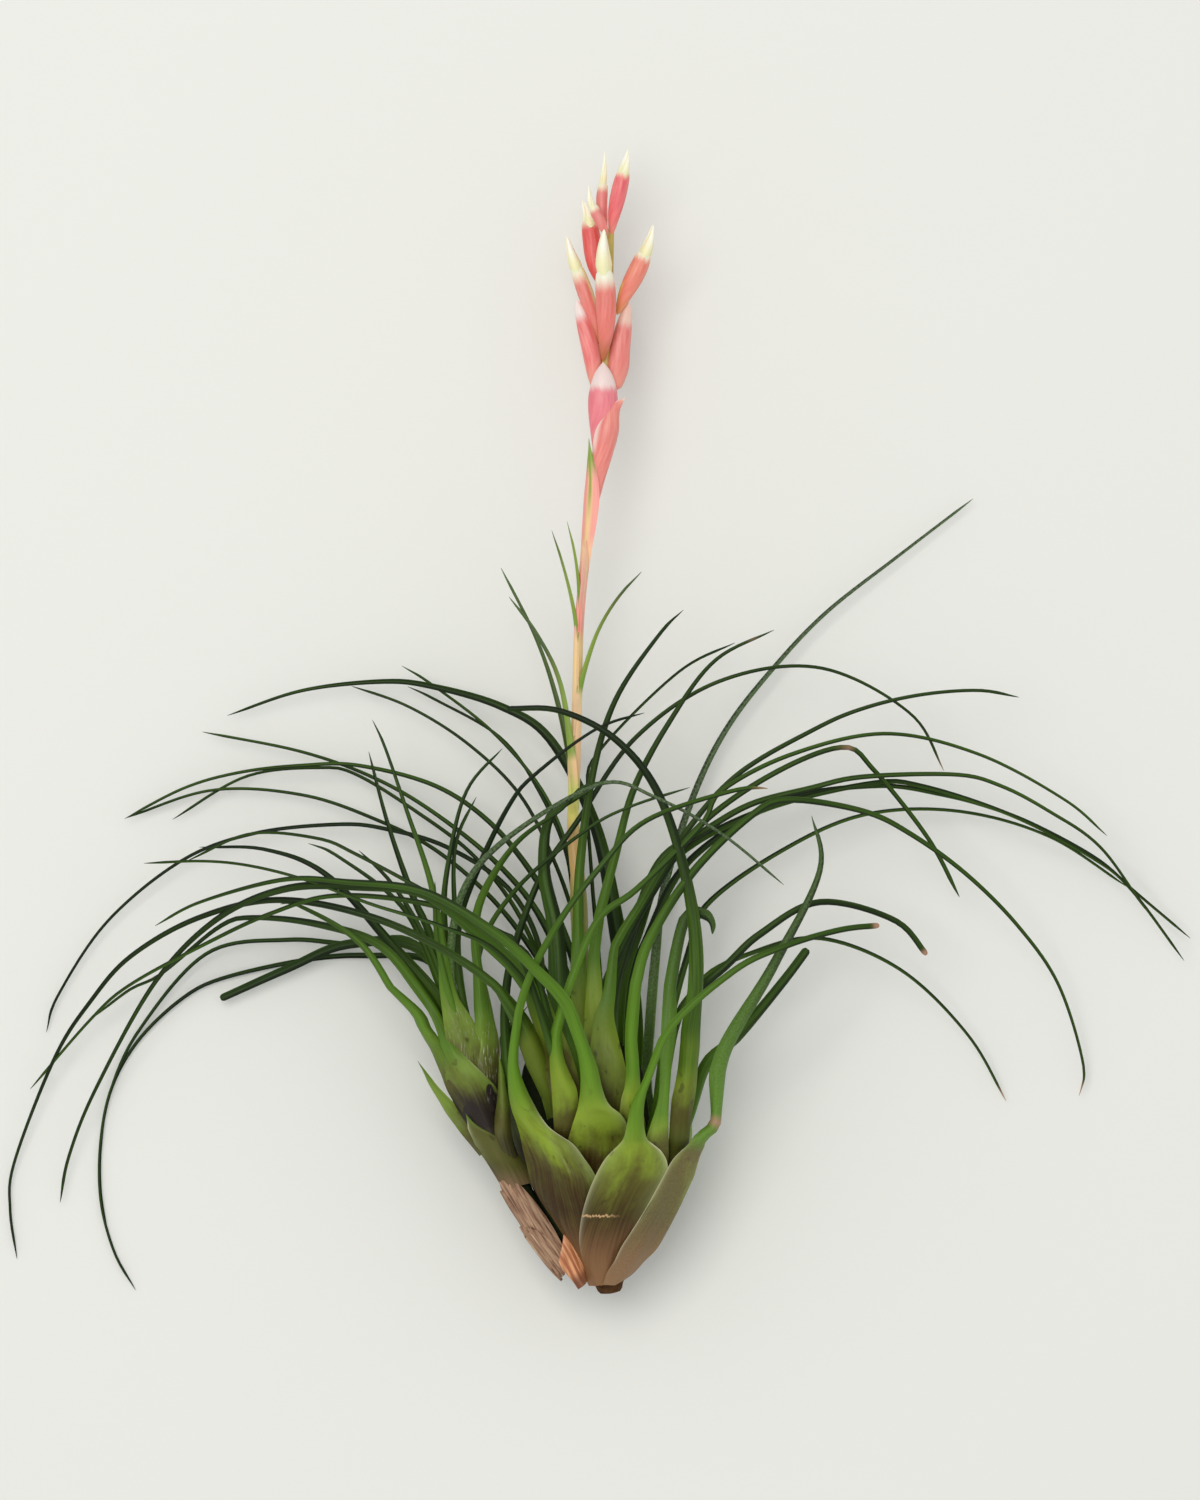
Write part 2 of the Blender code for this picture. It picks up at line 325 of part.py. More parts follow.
def smooth_line(points, spacing=1.0):
    """A smooth curve through the points, as evenly spaced samples about `spacing` apart."""
    knots = np.array(points, dtype=float)
    padded = np.vstack([2 * knots[0] - knots[1], knots, 2 * knots[-1] - knots[-2]])
    steps = np.linspace(0.0, 1.0, 16, endpoint=False)[:, None]
    pieces = []
    for i in range(1, len(padded) - 2):
        before, start, end, after = padded[i - 1:i + 3]
        leave = (end - before) / 2
        arrive = (after - start) / 2
        pieces.append((2 * steps ** 3 - 3 * steps ** 2 + 1) * start + (steps ** 3 - 2 * steps ** 2 + steps) * leave
                      + (3 * steps ** 2 - 2 * steps ** 3) * end + (steps ** 3 - steps ** 2) * arrive)
    dense = np.vstack(pieces + [knots[-1:]])
    travelled = distances_along(dense)
    count = max(2, round(travelled[-1] / spacing) + 1)
    return sample(dense, travelled, np.linspace(0.0, travelled[-1], count))


def distances_along(line):
    steps = np.linalg.norm(np.diff(line[:, :3], axis=0), axis=1)
    return np.concatenate([[0.0], np.cumsum(steps)])


def sample(line, travelled, wanted):
    return np.stack([np.interp(wanted, travelled, line[:, i]) for i in range(line.shape[1])], axis=1)


def unit(vectors):
    return vectors / np.maximum(np.linalg.norm(vectors, axis=-1, keepdims=True), 1e-9)


def smooth_step(x):
    x = np.clip(x, 0.0, 1.0)
    return x * x * (3 - 2 * x)


def away_from_axis(points, axis):
    """The part of each point's offset from the axis that is square to the axis."""
    start, end = (np.array(p) for p in axis)
    along = unit(end - start)
    offset = points - start
    return offset - (offset @ along)[:, None] * along


def leaf_frame(line, axis, sheath_length):
    """For each sample: the direction along the leaf, the outward side of the leaf, and its width.

    In the sheath the outward side faces away from the rosette's axis. Past it the side is carried
    along the leaf without turning about it.
    """
    along = unit(np.gradient(line, axis=0))
    travelled = distances_along(line)
    radial = away_from_axis(line, axis)
    reach = np.linalg.norm(radial, axis=1)
    seat = int(np.searchsorted(travelled, max(0.6 * sheath_length, 24.0)))
    seat = min(seat, len(line) - 1)
    first = unit(radial[seat] - (radial[seat] @ along[seat]) * along[seat])
    outward = np.zeros_like(line)
    outward[seat] = first
    for i in range(seat + 1, len(line)):
        carried = outward[i - 1] - (outward[i - 1] @ along[i]) * along[i]
        outward[i] = unit(carried)
    for i in range(seat - 1, -1, -1):
        guide = radial[i] if sheath_length and reach[i] > 3.0 else outward[i + 1]
        outward[i] = unit(guide - (guide @ along[i]) * along[i])
    return along, outward, np.cross(along, outward), reach


def leaf_widths(travelled, blade, tip, sheath, sheath_length):
    """Half width at each distance: a full sheath that draws in to the blade, then a slow taper."""
    fraction = travelled / travelled[-1]
    half = (tip + (blade - tip) * (1 - fraction) ** 1.3) / 2
    share = np.zeros_like(travelled)
    if sheath:
        share = 1 - smooth_step((travelled / sheath_length - 0.55) / 0.5)
        foot = 0.35 + 0.65 * smooth_step(travelled / (0.6 * sheath_length))
        half = half + share * foot * (sheath / 2 - blade / 2)
    return half, share


def row_distances(length, sheath_length):
    """Rows close together in the sheath, and further apart along the blade."""
    rows = []
    if sheath_length:
        rows = list(np.linspace(0.0, sheath_length, SHEATH_ROWS + 1))[:-1]
    start = sheath_length if sheath_length else 0.0
    count = max(3, round((length - start) / ROW_SPACING))
    return np.array(rows + list(np.linspace(start, length, count + 1)))


# Solids

def evaluated_mesh(obj):
    graph = bpy.context.evaluated_depsgraph_get()
    return bpy.data.meshes.new_from_object(obj.evaluated_get(graph))


def bake_modifiers(obj):
    """Gives the object the mesh that its modifiers make, and removes them."""
    mesh = evaluated_mesh(obj)
    obj.modifiers.clear()
    old = obj.data
    obj.data = mesh
    bpy.data.meshes.remove(old)


def add_object(name, mesh, collection):
    obj = bpy.data.objects.new(name, mesh)
    collection.objects.link(obj)
    return obj


def blade_solid(name, spec, axis, collection, grow=0.0):
    """A leaf: an open grid laid along its middle line, curled across, and thickened by Solidify.

    `grow` makes the same leaf larger all over, for use as a cutter.
    """
    blade, tip, sheath, sheath_length, points = spec
    line = smooth_line(points)
    travelled = distances_along(line)
    along, outward, across, reach = leaf_frame(line, axis, sheath_length)
    half, share = leaf_widths(travelled, max(blade, NARROWEST_BLADE), max(tip, NARROWEST_BLADE), sheath,
                              sheath_length)
    half = half + grow
    blade_curl = 0.9 / half
    sheath_curl = 1.0 / np.maximum(reach, 3.0)
    curl = share * sheath_curl + (1 - share) * np.minimum(blade_curl, 0.35)
    rows = row_distances(travelled[-1], sheath_length)
    columns = 4 if sheath > 10 else 2 if (sheath > 3 or blade > 2.3) else 1

    mesh = bpy.data.meshes.new(name)
    grid = bmesh.new()
    bmesh.ops.create_grid(grid, x_segments=columns, y_segments=len(rows) - 1, size=1.0)
    for vert in grid.verts:
        u = vert.co.x
        row = round((vert.co.y + 1) / 2 * (len(rows) - 1))
        distance = rows[row]
        centre, out, side = (np.array([np.interp(distance, travelled, a[:, i]) for i in range(3)])
                             for a in (line, outward, across))
        if grow and row == len(rows) - 1:
            centre = centre + grow * along[-1]
        width = np.interp(distance, travelled, half)
        bend = np.interp(distance, travelled, curl)
        angle = u * width * bend
        place = centre + side * math.sin(angle) / bend + out * (math.cos(angle) - 1) / bend
        vert.co = Vector(place * MM)
    bmesh.ops.triangulate(grid, faces=grid.faces)
    grid.to_mesh(mesh)
    grid.free()
    obj = add_object(name, mesh, collection)
    solidify = obj.modifiers.new("thickness", "SOLIDIFY")
    solidify.thickness = (BLADE_THICKNESS + 2 * grow) * MM
    solidify.offset = 0.0
    bake_modifiers(obj)
    return obj


def core_solid(name, profile, axis, collection, grow=0.0):
    """A turned body: the profile of (radius, distance from the foot) with a Screw, stood on its axis."""
    start, end = (Vector(p) for p in axis)
    corners = [((r + grow) * MM if r else 0.0, 0.0, h * MM) for r, h in profile]
    mesh = bpy.data.meshes.new(name)
    mesh.from_pydata(corners, [(i, i + 1) for i in range(len(corners) - 1)], [])
    obj = add_object(name, mesh, collection)
    screw = obj.modifiers.new("turn", "SCREW")
    screw.steps = 12
    screw.render_steps = 12
    screw.use_merge_vertices = True
    screw.merge_threshold = 0.00001
    bake_modifiers(obj)
    turn = (end - start).to_track_quat("Z", "Y").to_matrix().to_4x4()
    obj.data.transform(Matrix.Translation(start * MM) @ turn)
    return obj


def tube_solid(name, route, collection, grow=0.0, extra_length=0.0):
    """A round stem whose radius changes: a curve with a bevel and filled caps, made a mesh."""
    line = smooth_line(route, spacing=5.0)
    curve = bpy.data.curves.new(name, "CURVE")
    curve.dimensions = "3D"
    curve.bevel_depth = MM
    curve.bevel_resolution = 2
    curve.use_fill_caps = True
    spline = curve.splines.new("POLY")
    spline.points.add(len(line) - 1)
    if extra_length:
        line[-1, :3] += extra_length * unit(line[-1, :3] - line[-2, :3])
    for point, (x, y, z, radius) in zip(spline.points, line):
        point.co = (x * MM, y * MM, z * MM, 1.0)
        point.radius = radius + grow
    guide = add_object(name + "_curve", curve, collection)
    mesh = evaluated_mesh(guide)
    weld(mesh)
    bpy.data.objects.remove(guide, do_unlink=True)
    return add_object(name, mesh, collection)


def weld(mesh):
    shape = bmesh.new()
    shape.from_mesh(mesh)
    bmesh.ops.remove_doubles(shape, verts=shape.verts, dist=0.000005)
    bmesh.ops.recalc_face_normals(shape, faces=shape.faces)
    shape.to_mesh(mesh)
    shape.free()


def pod_solid(name, outline, width, depth, points, collection, grow=0.0, sides=8):
    """A pod: a round primitive whose rings are moved to an outline carried along a curved line."""
    line = smooth_line(points, spacing=0.5)
    travelled = distances_along(line)
    along = unit(np.gradient(line, axis=0))
    length = travelled[-1]
    last = len(outline) - 1
    mesh = bpy.data.meshes.new(name)
    shape = bmesh.new()
    bmesh.ops.create_uvsphere(shape, u_segments=sides, v_segments=last + 2, radius=1.0)
    for vert in shape.verts:
        ring = math.hypot(vert.co.x, vert.co.y)
        latitude = math.acos(max(-1.0, min(1.0, -vert.co.z))) / math.pi
        step = min(max(round(latitude * (last + 2)) - 1, 0), last)
        part_way, share = outline[step]
        distance = part_way * length
        end_push = grow * (-1 if step == 0 else 1 if step == last else 0)
        centre = np.array([np.interp(distance, travelled, line[:, i]) for i in range(3)])
        heading = np.array([np.interp(distance, travelled, along[:, i]) for i in range(3)])
        centre = centre + heading * end_push
        side = unit(np.cross(heading, (0.0, 0.0, 1.0)))
        up = unit(np.cross(heading, side))
        if ring > 1e-6:
            across = side * (vert.co.x / ring) * (share * width / 2 + grow)
            centre = centre + across + up * (vert.co.y / ring) * (share * depth / 2 + grow)
        vert.co = Vector(centre * MM)
    shape.to_mesh(mesh)
    shape.free()
    return add_object(name, mesh, collection)


def floor_block(collection):
    """A wide block whose top is the surface that the plant lies on."""
    mesh = bpy.data.meshes.new("floor_block")
    shape = bmesh.new()
    bmesh.ops.create_cube(shape, size=1.0)
    bmesh.ops.scale(shape, vec=(0.6, 0.6, 0.04), verts=shape.verts)
    bmesh.ops.translate(shape, vec=(0.0, 0.05, -0.02), verts=shape.verts)
    shape.to_mesh(mesh)
    shape.free()
    return add_object("floor_block", mesh, collection)


def join_all(base, others):
    """Joins the other solids to the base by one union on a collection, and removes them."""
    helpers = bpy.data.collections.new(base.name + "_parts")
    bpy.context.scene.collection.children.link(helpers)
    for obj in others:
        for owner in list(obj.users_collection):
            owner.objects.unlink(obj)
        helpers.objects.link(obj)
    union = base.modifiers.new("union", "BOOLEAN")
    union.operation = "UNION"
    union.operand_type = "COLLECTION"
    union.collection = helpers
    union.solver = "MANIFOLD"
    bake_modifiers(base)
    for obj in list(helpers.objects):
        bpy.data.objects.remove(obj, do_unlink=True)
    bpy.data.collections.remove(helpers)
    return base


def cut_away(obj, cutter, solver="EXACT"):
    cut = obj.modifiers.new("cut", "BOOLEAN")
    cut.operation = "DIFFERENCE"
    cut.solver = solver
    cut.object = cutter
    bake_modifiers(obj)


def boxes_meet(first, second):
    a = np.array([v.co for v in first.data.vertices])
    b = np.array([v.co for v in second.data.vertices])
    return bool(np.all(a.min(0) < b.max(0)) and np.all(b.min(0) < a.max(0)))


def keep_largest(obj):
    """Drops loose scraps that a cut leaves behind."""
    shape = bmesh.new()
    shape.from_mesh(obj.data)
    unseen = set(shape.verts)
    groups = []
    while unseen:
        stack = [unseen.pop()]
        group = []
        while stack:
            vert = stack.pop()
            group.append(vert)
            for edge in vert.link_edges:
                other = edge.other_vert(vert)
                if other in unseen:
                    unseen.remove(other)
                    stack.append(other)
        groups.append(group)
    groups.sort(key=lambda g: -sum(f.calc_area() for f in {f for v in g for f in v.link_faces}))
    loose = [v for group in groups[1:] for v in group]
    if loose:
        bmesh.ops.delete(shape, geom=loose, context="VERTS")
    shape.to_mesh(obj.data)
    shape.free()


def finish(obj, material):
    keep_largest(obj)
    weld(obj.data)
    obj.data.materials.clear()
    obj.data.materials.append(material)
    obj.data.shade_smooth()
    obj.data.set_sharp_from_angle(angle=math.radians(50))


# The plant

def main_rosette(name, collection, grow=0.0):
    core = core_solid(name, MAIN_CORE, MAIN_AXIS, collection, grow)
    blades = [blade_solid(name + "_" + leaf[0], leaf[1:], MAIN_AXIS, collection, grow) for leaf in MAIN_LEAVES]
    return join_all(core, blades)


def offset_rosette(name, collection, grow=0.0):
    core = tube_solid(name, OFFSET_CORE, collection, grow)
    blades = [blade_solid(name + "_" + leaf[0], leaf[1:], OFFSET_AXIS, collection, grow) for leaf in OFFSET_LEAVES]
    return join_all(core, blades)


def leafy_stem(name, collection, grow=0.0):
    stem = tube_solid(name, STEM_ROUTE, collection, grow, extra_length=grow)
    bracts = [blade_solid(name + "_" + leaf[0], leaf[1:], stem_axis(leaf), collection, grow) for leaf in STEM_BRACTS]
    return join_all(stem, bracts)


def stem_axis(leaf):
    """The stretch of the flower stem beside a bract's foot, as an axis for that bract."""
    line = smooth_line(STEM_ROUTE)[:, :3]
    foot = int(np.argmin(np.abs(line[:, 1] - leaf[5][0][1])))
    top = min(foot + 12, len(line) - 1)
    return tuple(line[foot]), tuple(line[top])


def petal_points(bract_points, length, lean):
    """The petals follow the bract's own line: they start inside it and run on past its mouth."""
    line = smooth_line(bract_points, spacing=0.5)
    heading = unit(line[-1] - line[-8])
    side = unit(np.cross(heading, (0.0, 0.0, 1.0)))
    foot = line[-1] - PETALS_HIDDEN * heading
    middle = foot + 0.6 * length * heading
    tip = foot + length * heading + lean * side
    return [foot, middle, tip]


def dry_sheath(name, start, end, middle_angle, half_arc, radius, collection, grow=0.0):
    """A strip of a tube round the offset's stalk, narrow at both ends, thickened by Solidify."""
    line = smooth_line(OFFSET_CORE)[:, :3]
    travelled = distances_along(line)
    along = unit(np.gradient(line, axis=0))
    mesh = bpy.data.meshes.new(name)
    grid = bmesh.new()
    bmesh.ops.create_grid(grid, x_segments=6, y_segments=5, size=1.0)
    for vert in grid.verts:
        t = (vert.co.y + 1) / 2
        spread = math.radians(half_arc) * (0.45 + 0.55 * math.sin(math.pi * (0.15 + 0.75 * t)))
        angle = math.radians(middle_angle) + vert.co.x * spread
        distance = start - grow + t * (end - start + 2 * grow)
        centre = np.array([np.interp(distance, travelled, line[:, i]) for i in range(3)])
        heading = np.array([np.interp(distance, travelled, along[:, i]) for i in range(3)])
        side = unit(np.cross(heading, (0.0, 0.0, 1.0)))
        up = np.cross(side, heading)
        out = up * math.cos(angle) - side * math.sin(angle)
        vert.co = Vector((centre + out * (radius + 0.5 * t)) * MM)
    bmesh.ops.triangulate(grid, faces=grid.faces)
    grid.to_mesh(mesh)
    grid.free()
    obj = add_object(name, mesh, collection)
    solidify = obj.modifiers.new("thickness", "SOLIDIFY")
    solidify.thickness = (0.6 + 2 * grow) * MM
    solidify.offset = 0.0
    bake_modifiers(obj)
    return obj


def build():
    clear_scene()
    plant = new_collection("vriesea")
    cutters = new_collection("cutters")
    paints = {name: make_material(name) for name in COLOURS}

    main = main_rosette("main_rosette", plant)
    offset = offset_rosette("offset_rosette", plant)
    main_room = main_rosette("main_room", cutters, GAP)
    stem = leafy_stem("flower_stem", plant)
    stem_room = tube_solid("stem_room", STEM_ROUTE[:9], cutters, GAP)
    cut_away(main, stem_room, "MANIFOLD")
    cut_away(main, floor_block(cutters), "MANIFOLD")
    cut_away(offset, main_room, "MANIFOLD")
    finish(main, paints["leaf_green"])
    finish(offset, paints["leaf_green"])

    made = []
    rooms = [(main, main_room)]
    offset_room = offset_rosette("offset_room", cutters, GAP)
    rooms.append((offset, offset_room))
    for name, start, end, angle, arc, radius in DRY_SHEATHS:
        sheath = dry_sheath(name, start, end, angle, arc, radius, plant)
        made.append((sheath, "dry_tan", dry_sheath(name + "_room", start, end, angle, arc, radius, cutters, GAP)))
    scale = blade_solid(RUST_SCALE[0], RUST_SCALE[1:], OFFSET_AXIS, plant)
    made.append((scale, "rust_brown", None))

    stem_whole = leafy_stem("stem_whole", cutters, GAP)
    finish(stem, paints["peach_stem"])
    rooms.append((stem, stem_whole))
    for name, bract, length, width, lean in PETALS:
        points = petal_points(next(b[4] for b in FLORAL_BRACTS if b[0] == bract), length, lean)
        petals = pod_solid(name, PETAL_OUTLINE, width, width, points, plant, sides=6)
        room = pod_solid(name + "_room", PETAL_OUTLINE, width, width, points, cutters, GAP, sides=6)
        made.append((petals, "cream_petal", room))
    for name, outline, width, depth, points in FLORAL_BRACTS:
        bract = pod_solid(name, outline, width, depth, points, plant)
        room = pod_solid(name + "_room", outline, width, depth, points, cutters, GAP)
        made.append((bract, "coral_bract", room))

    for solid, paint, room in made:
        for other, other_room in rooms:
            if boxes_meet(solid, other_room):
                cut_away(solid, other_room)
        finish(solid, paints[paint])
        if room:
            rooms.append((solid, room))

    for obj in list(cutters.objects):
        obj.hide_render = True
        obj.display_type = "WIRE"
    for obj in plant.objects:
        print(obj.name, len(obj.data.vertices), "points")


build()
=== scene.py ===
# %% [markdown]
# # A small vriesea, out of its pot and lying down
# The plant is a bromeliad: a bulb of spoon-shaped leaf sheaths from which long narrow channelled blades
# arch out, a smaller offset rosette beside it, and a leafy stem that carries a spike of coral bracts with
# closed cream petals. The imported solids give the place of every leaf. This script covers them with thin
# leaves, bracts and petals worked out with numpy, and gives each one a finish of its own.
#
# The imported model is loaded first. Nothing added later may leave it.

# %% Load the imported model
import math

import bpy
import numpy as np
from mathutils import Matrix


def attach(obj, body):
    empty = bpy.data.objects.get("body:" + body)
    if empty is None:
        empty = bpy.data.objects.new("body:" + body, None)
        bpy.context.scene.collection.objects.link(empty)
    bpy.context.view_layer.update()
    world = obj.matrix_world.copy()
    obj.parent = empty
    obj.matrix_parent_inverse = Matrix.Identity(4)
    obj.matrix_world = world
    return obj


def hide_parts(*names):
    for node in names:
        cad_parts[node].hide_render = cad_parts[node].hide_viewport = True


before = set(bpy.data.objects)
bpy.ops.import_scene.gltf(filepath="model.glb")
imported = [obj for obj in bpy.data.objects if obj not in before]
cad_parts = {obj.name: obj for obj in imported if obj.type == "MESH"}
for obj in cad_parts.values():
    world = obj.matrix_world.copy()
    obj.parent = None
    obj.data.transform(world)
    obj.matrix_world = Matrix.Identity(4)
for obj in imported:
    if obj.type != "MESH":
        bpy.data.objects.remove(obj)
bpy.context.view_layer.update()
MM = 0.001
print("nodes:", len(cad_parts))

# %% [markdown]
# ## Camera
# The plant lies on its surface, and the camera looks straight down on it. A short lens close by would make
# the leaves that lie high look larger, so a long lens looks from far away. Its focal length follows from
# the height of the frame: sensor * distance / height.

# %% Camera
FRAME_CENTRE = (-2.2, 86.9, 22.0)
FRAME_HEIGHT = 330.0
CAMERA_DISTANCE = 5000.0
SENSOR = 36.0

scene = bpy.context.scene
camera = bpy.data.cameras.new("camera")
camera.sensor_width = SENSOR
camera.lens = SENSOR * CAMERA_DISTANCE / FRAME_HEIGHT
camera_object = bpy.data.objects.new("camera", camera)
camera_object.location = [v * MM for v in np.add(FRAME_CENTRE, (0.0, 0.0, CAMERA_DISTANCE))]
scene.collection.objects.link(camera_object)
scene.camera = camera_object
scene.view_settings.view_transform = "Standard"
print("lens:", round(camera.lens, 1), "mm")

# %% [markdown]
# ## Colours and nodes
# A finish is a small tree of nodes that ends in one shader. It could be put together by hand, but written
# out it can be read, repeated and changed in one place. Colours are picked as sRGB hex values, as on a
# screen, and turned to the linear light that the shader works in.


# %% Colours and nodes
def linear(hex_colour):
    """Turns an sRGB hex value into the linear colour, with alpha, that Blender's nodes use."""
    values = [int(hex_colour[i:i + 2], 16) / 255 for i in (1, 3, 5)]
    return tuple(v / 12.92 if v <= 0.04045 else ((v + 0.055) / 1.055) ** 2.4 for v in values) + (1.0,)


def add_node(tree, kind, inputs=None, output=0, **settings):
    """Adds a node with its settings and gives back one output. Each input, named or numbered, is linked to
    a socket or to the mesh's mask of that name, or is set to a hex colour or a number."""
    node = tree.nodes.new("ShaderNode" + kind)
    for name, value in settings.items():
        setattr(node, name, value)
    for name, value in (inputs or {}).items():
        if isinstance(value, str):
            value = linear(value) if value[0] == "#" else add_node(tree, "Attribute", output="Fac",
                                                                   attribute_name=value)
        if isinstance(value, bpy.types.NodeSocket):
            tree.links.new(value, node.inputs[name])
        else:
            node.inputs[name].default_value = value
    return node.outputs[output]


def new_material(name, roughness, **sockets):
    """A material with a Principled shader whose steady values sit on its own sockets."""
    material = bpy.data.materials.new(name)
    material.use_nodes = True
    shader = material.node_tree.nodes["Principled BSDF"]
    for socket, value in {"Roughness": roughness, **sockets}.items():
        shader.inputs[socket.replace("_", " ")].default_value = value
    return material, material.node_tree


print("half grey in linear light:", round(linear("#808080")[0], 3))

# %% [markdown]
# ## Light and surface
# Soft daylight falls from the upper left on the plant and on the pale board that it lies on. A small lamp
# would draw hard shadows, and a sky alone hardly any. One wide lamp and an even sky together give the short,
# soft ones. The board is matt paint, so it shows no reflection of the plant.

# %% Light and surface
SKY_STRENGTH = 0.735
LAMP_POWER = 8.4
LAMP_SIZE = 750.0
LAMP_PLACE = (-280.0, 340.0, 1400.0)
LAMP_TARGET = (0.0, 80.0, 20.0)
BOARD_SIZE = 5000.0

world = bpy.data.worlds.new("daylight")
scene.world = world
world.use_nodes = True
sky = world.node_tree.nodes["Background"]
sky.inputs["Color"].default_value = linear("#FBFCFF")
sky.inputs["Strength"].default_value = SKY_STRENGTH

lamp = bpy.data.lights.new("window_light", "AREA")
lamp.energy = LAMP_POWER
lamp.size = LAMP_SIZE * MM
lamp.color = linear("#FFFCF6")[:3]
lamp_object = bpy.data.objects.new("window_light", lamp)
lamp_object.location = [v * MM for v in LAMP_PLACE]
aim = np.subtract(LAMP_TARGET, LAMP_PLACE)
lamp_object.rotation_euler = (math.atan2(math.hypot(aim[0], aim[1]), -aim[2]), 0.0, math.atan2(-aim[0], aim[1]))
scene.collection.objects.link(lamp_object)

board_corners = np.array([(-1, -1, 0), (1, -1, 0), (1, 1, 0), (-1, 1, 0)]) * BOARD_SIZE / 2 * MM
board_mesh = bpy.data.meshes.new("surface")
board_mesh.from_pydata(board_corners.tolist(), [], [(0, 1, 2, 3)])
board_mesh.materials.append(new_material("painted_board", 0.75, Base_Color=linear("#E4E5DE"))[0])
board = bpy.data.objects.new("surface", board_mesh)
scene.collection.objects.link(board)
print("lamp", LAMP_POWER, "W, sky", SKY_STRENGTH)

# %% [markdown]
# ## Lines and frames
# Every leaf is a strip carried along a curved middle line. The line could be a Bezier curve drawn by hand.
# Here it is a smooth curve through a few points in millimetres, because the solids were made from the same
# points. A frame travels along it: the heading, the outward side of the leaf, and the direction across it.
# In the sheath the outward side faces away from the rosette's axis. Further on the frame is carried without
# twist, and then eases round until the blade shows its face from above.

# %% Curves through points
SPAN_SAMPLES = 24
UP = np.array((0.0, 0.0, 1.0))


def unit(vectors):
    """Each vector divided by its own length."""
    return vectors / np.maximum(np.linalg.norm(vectors, axis=-1, keepdims=True), 1e-9)


def smooth_step(x):
    """3x^2 - 2x^3 between 0 and 1, flat outside."""
    x = np.clip(x, 0.0, 1.0)
    return x * x * (3 - 2 * x)


def distances_along(line):
    """How far along the line each point is: the sum of the straight steps before it."""
    steps = np.linalg.norm(np.diff(line[:, :3], axis=0), axis=1)
    return np.concatenate([[0.0], np.cumsum(steps)])


def sample(line, travelled, wanted):
    """Reads a line's columns at the wanted distances, by straight interpolation."""
    return np.stack([np.interp(wanted, travelled, column) for column in line.T], axis=-1)


def smooth_line(points, spacing=0.5):
    """A Hermite curve through the points: each tangent is half the step from the point before to the
    point after. It comes back as samples `spacing` millimetres apart."""
    knots = np.array(points, dtype=float)
    padded = np.vstack([2 * knots[0] - knots[1], knots, 2 * knots[-1] - knots[-2]])
    t = np.linspace(0.0, 1.0, SPAN_SAMPLES, endpoint=False)[None, :, None]
    before, start, end, after = (padded[i:len(padded) - 3 + i, None, :] for i in range(4))
    leave, arrive = (end - before) / 2, (after - start) / 2
    spans = ((2 * t ** 3 - 3 * t ** 2 + 1) * start + (t ** 3 - 2 * t ** 2 + t) * leave
             + (3 * t ** 2 - 2 * t ** 3) * end + (t ** 3 - t ** 2) * arrive)
    dense = np.vstack([spans.reshape(-1, knots.shape[1]), knots[-1:]])
    travelled = distances_along(dense)
    count = max(2, round(travelled[-1] / spacing) + 1)
    return sample(dense, travelled, np.linspace(0.0, travelled[-1], count))


print("a straight 10 mm line has", len(smooth_line([(0, 0, 0), (10, 0, 0)])), "samples")

# %% A frame along a leaf
SEAT_SHARE = 0.6       # the frame is seated this share of the sheath's length from its foot
LEAST_SEAT = 24.0      # and no nearer than this, where the leaf has left the axis
EASE_START = 4.0       # past the sheath the blade begins to turn its face up
EASE_LENGTH = 34.0
LEAST_REACH = 3.0      # closer to the axis than this, its direction says nothing


def away_from_axis(points, axis):
    """Each point's offset from the axis, less its part along the axis."""
    start, end = np.array(axis, dtype=float)
    along = unit(end - start)
    offset = points - start
    return offset - (offset @ along)[:, None] * along


def leaf_frame(line, axis, sheath_length, ease):
    """The heading, the outward side and the crosswise direction at each sample, and the distance to
    the axis. Each step of the carried side is the last one with its part along the new heading taken
    out, so this is the one thing that has to be worked out sample by sample."""
    along = unit(np.gradient(line, axis=0))
    travelled = distances_along(line)
    radial = away_from_axis(line, axis)
    reach = np.linalg.norm(radial, axis=1)
    seat = min(int(np.searchsorted(travelled, max(SEAT_SHARE * sheath_length, LEAST_SEAT))), len(line) - 1)
    outward = np.zeros_like(line)
    outward[seat] = unit(radial[seat] - (radial[seat] @ along[seat]) * along[seat])
    for i in range(seat + 1, len(line)):
        outward[i] = unit(outward[i - 1] - (outward[i - 1] @ along[i]) * along[i])
    for i in range(seat - 1, -1, -1):
        guide = radial[i] if sheath_length and reach[i] > LEAST_REACH else outward[i + 1]
        outward[i] = unit(guide - (guide @ along[i]) * along[i])
    facing = UP if outward[seat, 2] > -0.1 else -UP
    flat = unit(facing - (along @ facing)[:, None] * along)
    share = ease * smooth_step((travelled - sheath_length - EASE_START) / EASE_LENGTH)[:, None]
    outward = (1 - share) * outward + share * flat
    outward = unit(outward - np.sum(outward * along, axis=1, keepdims=True) * along)
    return along, outward, np.cross(along, outward), reach


print("frame ready, seat at", LEAST_SEAT, "mm or more")

# %% [markdown]
# ## Closed skins from rings
# A leaf is thin, but a mesh of no thickness has no inside and prints badly. A sheet with Solidify would do,
# but its rim stays square. So each leaf, pod, petal and stem is a stack of rings: a ring runs across the
# outer face and back along the inner face. Rings are joined by quads and both ends are closed on one point.
# Masks travel with every vertex and tell the material where it is: how far along, how far across, and how
# near to the tip.

# %% From rings to a mesh
SHARP_ANGLE = 52.0


def with_ends(grid):
    """A row for each vertex of the grid, then the means of its first and of its last ring."""
    return np.vstack([grid.reshape(-1, grid.shape[-1]), grid[0].mean(0), grid[-1].mean(0)])


